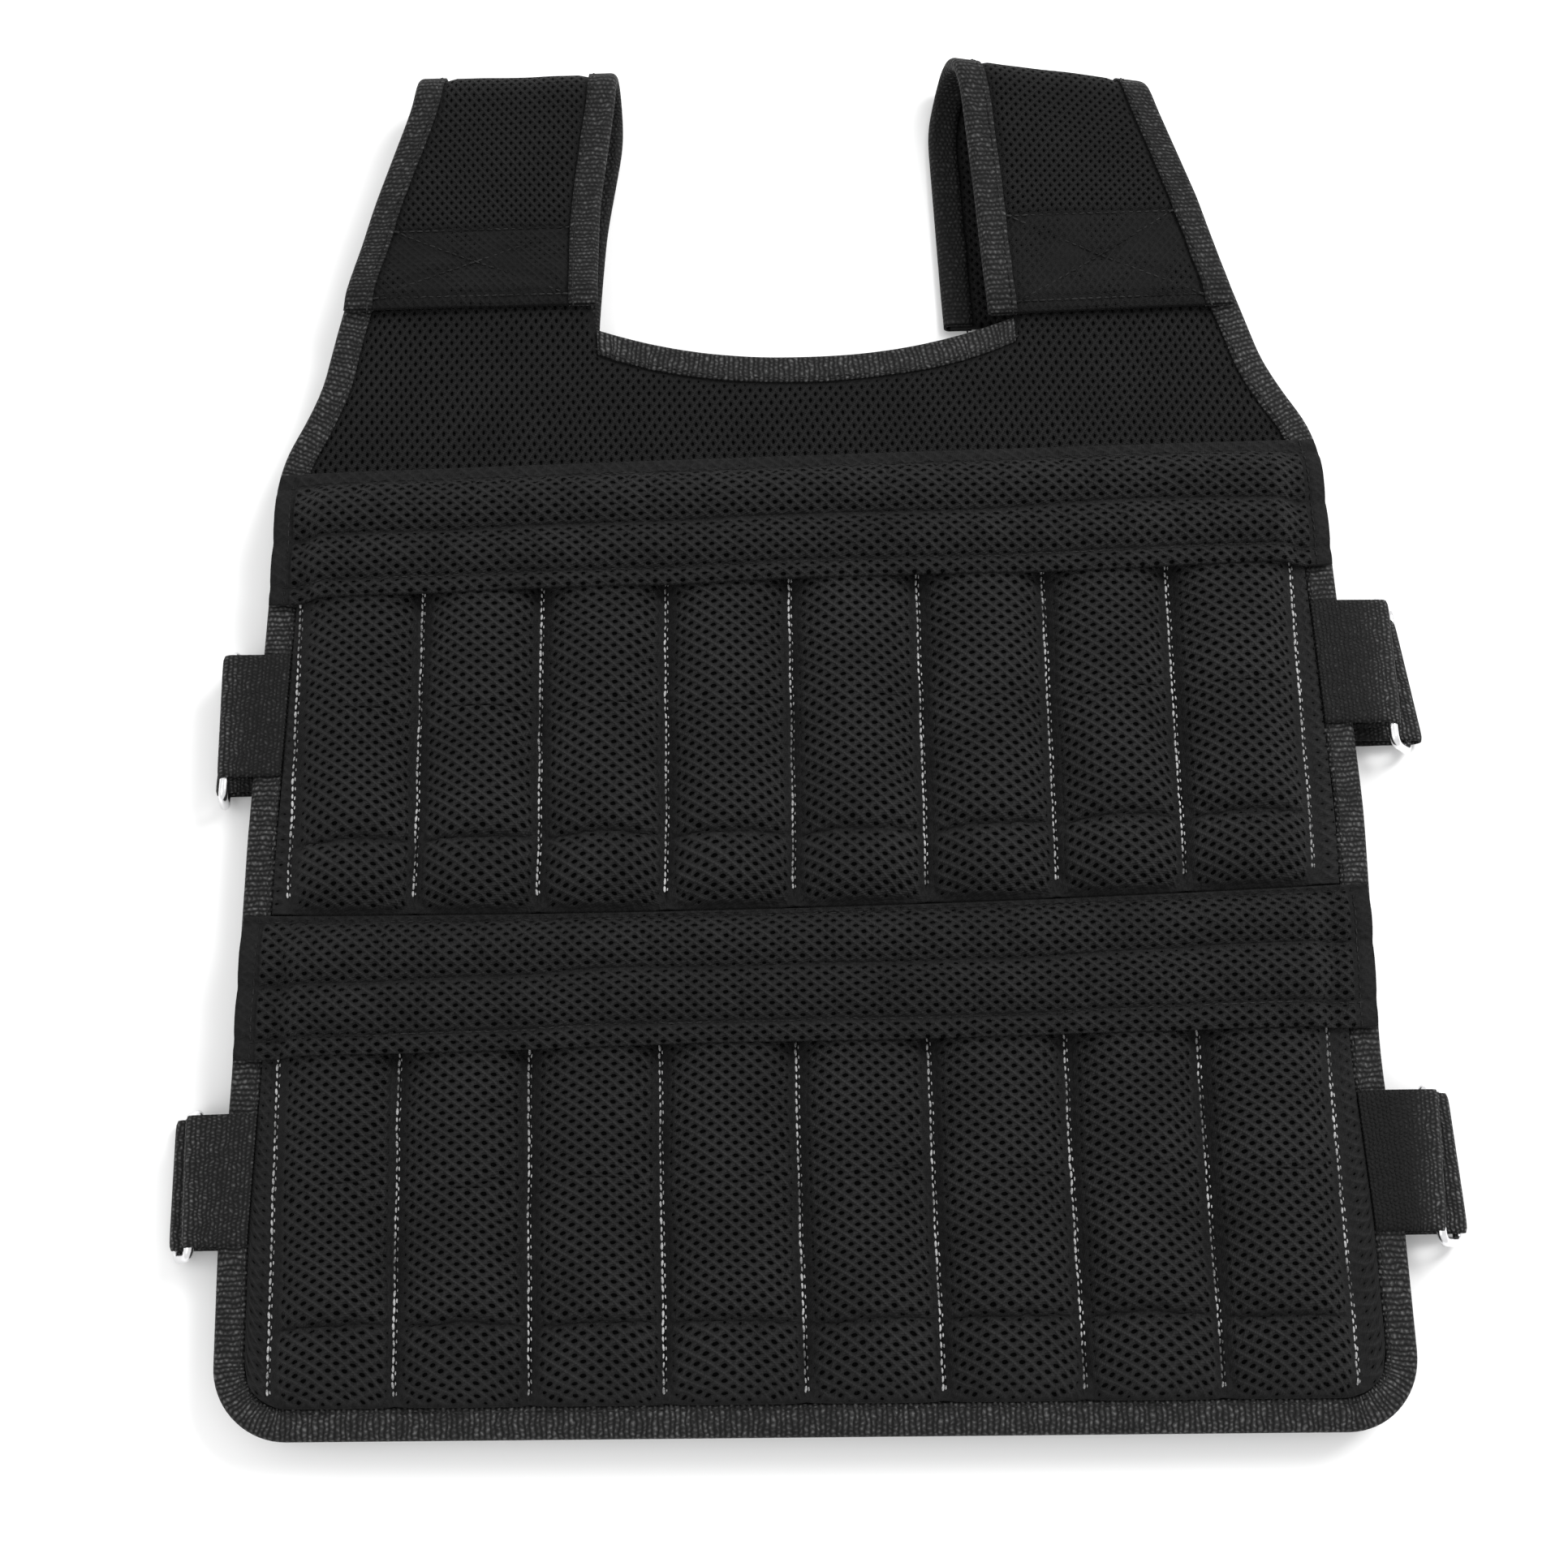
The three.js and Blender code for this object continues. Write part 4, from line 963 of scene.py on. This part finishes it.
def make_flap(row, bottom, seam, seed):
    mouth = seam - MOUTH_BELOW_SEAM
    rows = 90
    share = np.linspace(0, 1, rows)[:, None]
    spread = np.linspace(-1, 1, 281)[None, :]
    flap = FLAPS[row]
    hang = softened(FLAP_SPREAD, flap["hang"], 0.2, 1.2, 0.02)(spread)
    top = middle_sag(spread * HALF_WIDTH) - (UPPER_POCKET_BOTTOM - LOWER_SEAM) + SEAM_CLEARANCE
    top = top if row == "lower" else 0 * spread
    drop = 0.5 * waves(spread * HALF_WIDTH, 0 * spread, 160, seed + 9) * share
    y = seam - top - share * (hang - top) + drop
    reach = edge_reach(y) - SEWN_GAP
    x = spread * reach
    wander = 0.03 * waves(x, 0 * x, 190, seed + 2)
    at_left, at_right = flap["drawn_up"]
    drawn_up = at_left + (at_right - at_left) * (spread + 1) / 2
    line_share = share + (wander + drawn_up) * np.sin(math.pi * share)
    line_share = np.interp(line_share, (0, flap["band"], 1), (0, CREASES[0], 1))
    quilt = softened(QUILT_DOWN, QUILT, 0.012, 1, 0.004)(line_share) * FLAP_THICK
    rise = np.interp((np.minimum(y, mouth) - bottom) / (mouth - bottom), RISE_UP, RISE) * POCKET_BULGE
    to_crest = 1 - smoothstep(np.abs(x), POCKETS_HALF - 9, POCKETS_HALF + 3)
    sheet_top = PANEL_THICK / 2 + SEWN_GAP + POCKET_SHEET + FLAP_GAP
    past = smoothstep(share * FLAP_DEPTH, 0, MOUTH_BELOW_SEAM - 4)
    over = sheet_top + to_crest * rise
    under = front_level(x) + (BINDING_HALF + SEWN_GAP) * (1 - past) + over * past
    under = under + past * (0.35 + 0.35 * waves(x, y, 80, seed)) * to_crest
    hem_dip = np.exp(-((np.abs(x) - (reach - 7)) / 1.3) ** 2) * 0.55
    thick = quilt * (1 - 0.3 * smoothstep(np.abs(x), reach - 9, reach - 2)) * (1 - hem_dip)
    top_z = under + np.maximum(thick, 0.9) * (1 + 0.06 * waves(x, y, 40, seed + 1))
    sheet = place(x, y, top_z)
    in_crease = sum(np.exp(-((line_share - at) / 0.016) ** 2) for at in CREASES)
    border = (share < 0.02) | (share > 0.98) | (np.abs(x) > reach - 8)
    upper = filled_out("flap_" + row, sheet[::-1], (border | (in_crease > 0.5))[::-1], 4.0, 0.03,
                       0.8 * MM)[::-1]
    lower = place(x, y, under)
    uv = cloth_uv(spread * HALF_WIDTH, -share * FLAP_DEPTH * 1.08)
    seam_band = 1 - smoothstep(line_share, 0.07, 0.1)
    # The creases' press shuts the holes and paints the crease lines dark: pressed cloth along the stitching,
    # and painted shade in the folds.
    press = np.maximum(in_crease, seam_band * 0.8)
    press = np.maximum(press, smoothstep(np.abs(x), reach - 9, reach - 7.5))
    name = "flap_" + row
    piece = cloth_shell(name + "_cloth", upper[::-1], lower[::-1], uv[::-1], MATERIALS["flap_mesh"],
                        np.clip(press, 0, 1)[::-1])
    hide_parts(name)
    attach(piece, "root")
    sew_flap(row, upper, line_share, seed)


def sew_flap(row, upper, line_share, seed):
    """Black seams: along the top, along the hem crease and down both ends."""
    columns = upper.shape[1]
    lift = np.array([0, 0, 0.15]) * MM
    lines = []
    for crease in (CREASES[0], CREASES[2]):
        at = np.argmin(np.abs(line_share - crease), axis=0)
        lines.append(upper[at, np.arange(columns)][4:-4] + lift)
    lines += [upper[3:-2, at] + lift for at in (4, columns - 5)]
    thread = sew("flap_seams_" + row, lines, BLACK_STITCHES, 0.0034, 0.0027, 0.0006, seed)
    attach(thread, "root")


for row, sizes in ROWS.items():
    make_flap(row, **sizes)


# Shoulder straps

STRAP_STATIONS = (0, 0.2, 0.42, 0.62, 0.8, 1)
STRAP_EDGES = {
    "left": dict(side=-1, fold_rise=0, fold_slope=0.0, end=(6.0, 6.5),
                 inner=(0.364, 0.356, 0.32, 0.315, 0.35, 0.37),
                 outer=(0.835, 0.78, 0.695, 0.69, 0.742, 0.8)),
    "right": dict(side=1, fold_rise=3, fold_slope=0.2, end=(-4.0, -2.5),
                  inner=(0.382, 0.37, 0.353, 0.295, 0.3, 0.305),
                  outer=(0.838, 0.778, 0.71, 0.675, 0.725, 0.78)),
}
FOLD_RADIUS = (FRONT_STRAP_LEVEL + STRAP_LOFT - BACK_STRAP_LEVEL) / 2
FOLD_CENTRE = (STRAP_FOLD - FOLD_RADIUS - STRAP_THICK / 2, BACK_STRAP_LEVEL + FOLD_RADIUS)
STRAP_LEAVES_EAR = EAR_TOP + SEWN_GAP + TAPE_THICK + STRAP_THICK / 2
STRAP_BOX = 39
STRAP_HEM = 4


def strap_line():
    """Middle line of a strap in side view (height above the hem, level), front end first."""
    halfway = (STRAP_LEAVES_EAR + FOLD_CENTRE[0]) / 2
    knots = [(STRAP_END, FRONT_STRAP_LEVEL), (STRAP_LEAVES_EAR - 12, FRONT_STRAP_LEVEL),
             (halfway, FRONT_STRAP_LEVEL + STRAP_LOFT * 0.6)]
    for turn in np.linspace(0, math.pi, 9):
        knots.append((FOLD_CENTRE[0] + FOLD_RADIUS * math.sin(turn),
                      FOLD_CENTRE[1] + FOLD_RADIUS * math.cos(turn)))
    knots += [(halfway, BACK_STRAP_LEVEL), (STRAP_LEAVES_EAR, BACK_STRAP_LEVEL),
              (STRAP_END, BACK_STRAP_LEVEL)]
    line, _ = resampled(knots, 160)
    window = np.hanning(9)[1:-1]
    window /= window.sum()
    for i in (0, 1):
        line[:, i] = np.convolve(np.pad(line[:, i], 3, mode="reflect", reflect_type="odd"), window, "valid")
    return line


STRAP_LINE = strap_line()
STRAP_ALONG = arc_lengths(STRAP_LINE)
STRAP_UP = -outward_of(STRAP_LINE)


def strap_edges(strap):
    share = STRAP_ALONG / STRAP_ALONG[-1]
    return [softened(STRAP_STATIONS, strap[key], 0.06, 1, 0.01)(share) * HALF_WIDTH
            for key in ("inner", "outer")]


def strap_points(strap, reach, up):
    """Points of a strap: reach from the centre line, up from its middle surface, station by station."""
    inner, outer = strap_edges(strap)
    near_tip = 1 - smoothstep(STRAP_ALONG, 0, STRAP_HEM + 4)[:, None]
    up = up * (1 - 0.45 * near_tip) - 1.1 * near_tip
    y = STRAP_LINE[:, 0][:, None] + STRAP_UP[:, 0][:, None] * up
    z = STRAP_LINE[:, 1][:, None] + STRAP_UP[:, 1][:, None] * up
    share = (reach - inner[:, None]) / (outer - inner)[:, None]
    climb = np.clip((y - STRAP_LEAVES_EAR) / (STRAP_FOLD - STRAP_LEAVES_EAR), 0, 1)
    slope = strap["fold_slope"] * (STRAP_FOLD - EAR_TOP)
    by_neck, by_arm = strap["end"]
    near_end = 1 - smoothstep(STRAP_ALONG, 0, STRAP_BOX + 8)[:, None]
    drawn = (by_neck + (by_arm - by_neck) * share) * near_end
    return place(strap["side"] * reach, y + drawn + (strap["fold_rise"] - slope * share) * climb, z)


def make_strap(name, strap):
    inner, outer = strap_edges(strap)
    share = np.linspace(0, 1, 41)[None, :]
    reach = (inner + TAPE_TUCK)[:, None] + (outer - inner - 2 * TAPE_TUCK)[:, None] * share
    depth = np.minimum(reach - inner[:, None], outer[:, None] - reach)
    loft = smoothstep(depth, TAPE_COVER, FULL_LOFT)
    along = STRAP_ALONG[:, None]
    boxed = np.exp(-((along - STRAP_HEM) / 1.4) ** 2) + np.exp(-((along - STRAP_BOX) / 1.4) ** 2)
    boxed = boxed + 0 * reach
    in_box = np.clip((along - STRAP_HEM) / (STRAP_BOX - STRAP_HEM), 0, 1)
    cross = np.exp(-((in_box - share) * 16) ** 2) + np.exp(-((in_box - 1 + share) * 16) ** 2)
    cross = cross * smoothstep(along, STRAP_HEM, STRAP_HEM + 1)
    cross = cross * (1 - smoothstep(along, STRAP_BOX - 1, STRAP_BOX))
    end = smoothstep(along, 0, 3)
    thick = (EDGE_THICK + (STRAP_THICK - EDGE_THICK) * loft * end) * (1 - 0.3 * np.clip(boxed + cross, 0, 1))
    ripple = 0.35 * waves(reach, along, 45, int(inner[0])) * loft
    puff = 0.5 * waves(reach, along, 18, int(outer[0])) * loft * (1 - smoothstep(along, 36, 42))
    upper = strap_points(strap, reach, thick / 2 + ripple + puff)
    lower = strap_points(strap, reach, -thick / 2 + ripple)
    uv = cloth_uv(reach, along)
    press = 1 - smoothstep(depth, TAPE_COVER, TAPE_COVER + 3)
    stitched = (1 - smoothstep(along, STRAP_BOX, STRAP_BOX + 2)) * (0.7 + 0.4 * waves(reach, along, 24, 5))
    press = np.clip(np.maximum(press, np.maximum(boxed, stitched)), 0, 1)
    if strap["side"] < 0:
        upper, lower, uv, press = (grid[:, ::-1] for grid in (upper, lower, uv, press))
    piece = cloth_shell(f"shoulder_strap_{name}_cloth", upper, lower, uv, MATERIALS["strap_mesh"], press)
    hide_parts("shoulder_strap_" + name)
    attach(piece, "root")
    sew_strap(name, strap)


def sew_strap(name, strap):
    """The box and cross that hold a strap on the yoke, and its hem."""
    inner, outer = strap_edges(strap)
    station = np.arange(len(STRAP_LINE))

    def at(along, share):
        i = np.interp(along, STRAP_ALONG, station)
        index = np.clip(np.round(i).astype(int), 0, len(station) - 1)
        reach = inner[index] + COMPRESSED + (outer - inner - 2 * COMPRESSED)[index] * share
        grid = strap_points(strap, np.broadcast_to(reach[None, :], (len(station), len(reach))),
                            STRAP_THICK / 2 * 0.86)
        return np.array([[np.interp(i[k], station, grid[:, k, axis]) for axis in range(3)]
                         for k in range(len(i))])

    count = 40
    steps = np.linspace(0, 1, count)
    run = (STRAP_BOX - STRAP_HEM) * steps
    lines = [at(np.full(count, float(STRAP_HEM)), steps), at(np.full(count, float(STRAP_BOX)), steps),
             at(STRAP_HEM + run, steps), at(STRAP_BOX - run, steps)]
    thread = sew("strap_seams_" + name, lines, BLACK_STITCHES, 0.0032, 0.0026, 0.0008)
    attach(thread, "root")


def make_strap_binding(name, strap, which):
    inner, outer = strap_edges(strap)
    base = inner if which == "inner" else outer
    sign = -1 if which == "inner" else 1
    edge = np.stack([base, STRAP_ALONG], axis=1)
    outward = np.tile(np.array([sign, 0.0]), (len(edge), 1))

    def lay(reach, _, out, up, along):
        return strap_points(strap, reach, up)

    # Painted shade: the strap's binding is painted a little darker all along, and much darker on its back
    # run past the fold, where it lies in shadow.
    shade = 0.3 + 0.6 * smoothstep(STRAP_ALONG / STRAP_ALONG[-1], 0.45, 0.56)
    swept_tape(f"strap_binding_{name}_{which}", edge, outward, lay, seed=50 + len(name) + len(which),
               shade=shade)


for name, strap in STRAP_EDGES.items():
    make_strap(name, strap)
    for which in ("inner", "outer"):
        make_strap_binding(name, strap, which)


# Side fastenings

RING_SPAN = 15
WIRE_RADIUS = 1.8
RING_CORNER = 3.4
RING_SIDE_PLAY = {"upper": 2.6, "lower": 0.4}
RING_DROP = {"upper": 3.2, "lower": 1.2}
WEBBING_TAIL = 34
WEBBING_BEND = WIRE_RADIUS + SEWN_GAP + WEBBING_THICK / 2
LOWER_BAR_LEVEL = WEBBING_THICK / 2 + WEBBING_BEND
# Each fastening's webbing is painted darker near the vest by its own amount: painted shade.
FASTENINGS = {
    "left_upper": dict(side=-1, middle=0.572, strap_down=2.5, painted_shade=0.9,
                       upper=0.8, lower=0.97, tab_slew=-0.04, slew=0.02),
    "left_lower": dict(side=-1, middle=0.197, strap_down=0, painted_shade=0.6,
                       upper=0.8, lower=1.3, tab_slew=-0.05, slew=-0.03),
    "right_upper": dict(side=1, middle=0.589, strap_down=4, painted_shade=1.05,
                        upper=1.13, lower=1.67, tab_slew=-0.02, slew=0.1),
    "right_lower": dict(side=1, middle=0.191, strap_down=0, painted_shade=1.25,
                        upper=1.0, lower=1.6, tab_slew=-0.085, slew=0.0),
}


def turn_round(bar):
    turns = np.linspace(0, math.pi, 15)
    return [(bar[0] + WEBBING_BEND * math.sin(t), bar[1] + WEBBING_BEND * math.cos(t)) for t in turns]


def webbing_strip(name, line, fastening, slew, fades, down=0):
    """Webbing along a line of (out from the panel's edge, level), as wide as the webbing.

    fades is the run, out from the edge, over which it is painted darker than at its fold, as painted shade
    by the vest, and down is how far it lies below the middle of its fastening.
    """
    path, fine = resampled(line)
    normal = -outward_of(path)
    across = np.linspace(-0.5, 0.5, 31)
    rounded = np.sqrt(np.clip(1 - (np.abs(across) * 2) ** 14, 0, 1)) * 0.75 + 0.25
    y = fastening["middle"] * EAR_TOP - down + across * WEBBING_WIDTH
    reach = side_edge(y)[None, :] + path[:, 0][:, None] - slew * (across * WEBBING_WIDTH)[None, :] \
        * smoothstep(path[:, 0], 0, 10)[:, None]
    grids = []
    for sign in (1, -1):
        half = sign * WEBBING_THICK / 2 * rounded[None, :]
        x = reach + normal[:, 0][:, None] * half
        z = path[:, 1][:, None] + normal[:, 1][:, None] * half
        grids.append(place(fastening["side"] * x, np.broadcast_to(y[None, :], x.shape), z))
    uv = cloth_uv(fine[:, None], across * WEBBING_WIDTH)
    upper, lower = grids
    if fastening["side"] > 0:
        upper, lower, uv = (grid[:, ::-1] for grid in (upper, lower, uv))
    # Painted shade: darkest by the vest's edge, fading to none from fades outwards.
    shade = fastening["painted_shade"] * (1 - smoothstep(path[:, 0], 0.2 * fades, fades))
    shade = np.broadcast_to(shade[:, None], reach.shape)
    piece = cloth_shell(name + "_webbing", upper, lower, uv, MATERIALS["webbing"], shade)
    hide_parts(name)
    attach(piece, "root")


def bars(fastening):
    height = math.sqrt(1 - (fastening["lower"] - fastening["upper"]) ** 2)
    lower = (fastening["lower"] * RING_SPAN, LOWER_BAR_LEVEL)
    upper = (fastening["upper"] * RING_SPAN, LOWER_BAR_LEVEL + height * RING_SPAN)
    return upper, lower


def make_fastening(name, fastening):
    upper, lower = bars(fastening)
    edge = float(side_edge(fastening["middle"] * EAR_TOP))
    clear = BINDING_HALF + SEWN_GAP + WEBBING_THICK / 2
    foot = SEWN_GAP - TAPE_COVER
    over = float(front_level(edge + foot)) + clear
    below = float(front_level(edge)) - clear
    webbing_strip("side_tab_" + name,
                  [(foot, over), (2 * TAPE_THICK, over)] + turn_round(upper)
                  + [(2 * TAPE_THICK, below), (foot, below)], fastening, fastening["tab_slew"],
                  upper[0] + WEBBING_BEND)
    strap_over = BACK_SIDE_LEVEL + clear
    webbing_strip("side_strap_" + name,
                  [(-TAPE_COVER, strap_over), (2 * TAPE_THICK, strap_over)] + turn_round(lower)
                  + [(lower[0] - WEBBING_TAIL, WEBBING_THICK / 2)], fastening, fastening["slew"],
                  upper[0], fastening["strap_down"])
    make_ring("side_ring_" + name, fastening, upper, lower)


def make_ring(name, fastening, upper, lower):
    """A loop of round wire with rounded corners."""
    row = name.split("_")[-1]
    half_length = WEBBING_WIDTH / 2 + RING_SIDE_PLAY[row] + WIRE_RADIUS
    half_span = RING_SPAN / 2
    outline = []
    for sx, sy, start in ((1, 1, 0), (-1, 1, 0.5), (-1, -1, 1), (1, -1, 1.5)):
        for t in np.linspace(start, start + 0.5, 7) * math.pi:
            outline.append((sx * (half_length - RING_CORNER) + RING_CORNER * math.cos(t),
                            sy * (half_span - RING_CORNER) + RING_CORNER * math.sin(t)))
    outline = np.array(outline)
    run = np.roll(outline, -1, axis=0) - np.roll(outline, 1, axis=0)
    run /= np.linalg.norm(run, axis=1, keepdims=True)
    outward = np.stack([run[:, 1], -run[:, 0]], axis=1)
    upper, lower = np.array(upper), np.array(lower)
    middle = (upper + lower) / 2
    axis = (upper - lower) / np.linalg.norm(upper - lower)
    height = fastening["middle"] * EAR_TOP - RING_DROP[row]
    turns = np.linspace(0, 2 * math.pi, 17)[:-1]
    flat = outline[:, None, :] + outward[:, None, :] * (WIRE_RADIUS * np.cos(turns))[None, :, None]
    proud = np.broadcast_to(WIRE_RADIUS * np.sin(turns)[None, :], flat.shape[:2])
    x = middle[0] + axis[0] * flat[..., 1] + axis[1] * proud
    z = middle[1] + axis[1] * flat[..., 1] - axis[0] * proud
    y = height + flat[..., 0]
    reach = side_edge(y) + x
    points = place(fastening["side"] * reach, y, z)
    rows, columns = points.shape[:2]
    index = np.arange(rows * columns).reshape(rows, columns)
    below = np.roll(index, -1, axis=0)
    faces = np.stack([index, np.roll(index, -1, axis=1), np.roll(below, -1, axis=1), below], axis=-1)
    faces = faces.reshape(-1, 4)
    if fastening["side"] > 0:
        faces = faces[:, ::-1]
    piece = new_object(name + "_wire", points.reshape(-1, 3), faces, None, MATERIALS["bright_wire"])
    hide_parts(name)
    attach(piece, "root")


for name, fastening in FASTENINGS.items():
    make_fastening(name, fastening)


# Floor, light and camera

def make_floor():
    mesh = bpy.data.meshes.new("floor")
    size = 6
    mesh.from_pydata([(-size, -size, 0), (size, -size, 0), (size, size, 0), (-size, size, 0)], [],
                     [(0, 1, 2, 3)])
    floor = bpy.data.objects.new("floor", mesh)
    bpy.context.scene.collection.objects.link(floor)
    material, w, shader = plain_material("pale_floor", roughness=0.9, specular=0.1)
    shader.inputs["Base Color"].default_value = (0.9, 0.9, 0.9, 1)
    mesh.materials.append(material)


def area_light(name, place_at, aim, size, power):
    lamp = bpy.data.lights.new(name, "AREA")
    lamp.shape = "RECTANGLE"
    lamp.size, lamp.size_y = size
    lamp.energy = power
    obj = bpy.data.objects.new(name, lamp)
    obj.location = place_at
    obj.rotation_euler = (Vector(aim) - Vector(place_at)).to_track_quat("-Z", "Y").to_euler()
    bpy.context.scene.collection.objects.link(obj)


def make_lights():
    world = bpy.data.worlds.new("studio")
    world.use_nodes = True
    background = world.node_tree.nodes["Background"]
    background.inputs["Color"].default_value = (1, 1, 1, 1)
    background.inputs["Strength"].default_value = 1.0
    bpy.context.scene.world = world
    area_light("key", (1.1, 0.8, 1.4), (0, 0, 0), (0.9, 0.7), 30)
    area_light("fill", (-1.0, -0.4, 1.4), (0, 0, 0), (1.2, 1.2), 6)
    bpy.context.scene.view_settings.view_transform = "Standard"


def make_camera():
    """The photo's view: nearly straight down, from over the foot end, turned a little."""
    focal_share = 2800 / 1932
    tilt = math.radians(15.6)
    roll = math.radians(1.7)
    distance = 0.878
    target = Vector((-8.9, -32.3, 20)) * MM
    forward = Vector((0, math.sin(tilt), -math.cos(tilt)))
    level_right = Vector((1, 0, 0))
    level_up = Vector((0, math.cos(tilt), math.sin(tilt)))
    right = math.cos(roll) * level_right - math.sin(roll) * level_up
    up = math.sin(roll) * level_right + math.cos(roll) * level_up
    lens = bpy.data.cameras.new("camera")
    lens.sensor_width = 36
    lens.sensor_fit = "HORIZONTAL"
    lens.lens = 36 * focal_share
    lens.clip_start = 0.01
    camera = bpy.data.objects.new("camera", lens)
    turned = Matrix((right, up, -forward)).transposed()
    camera.matrix_world = Matrix.Translation(target - forward * distance) @ turned.to_4x4()
    bpy.context.scene.collection.objects.link(camera)
    bpy.context.scene.camera = camera


make_floor()
make_lights()
make_camera()
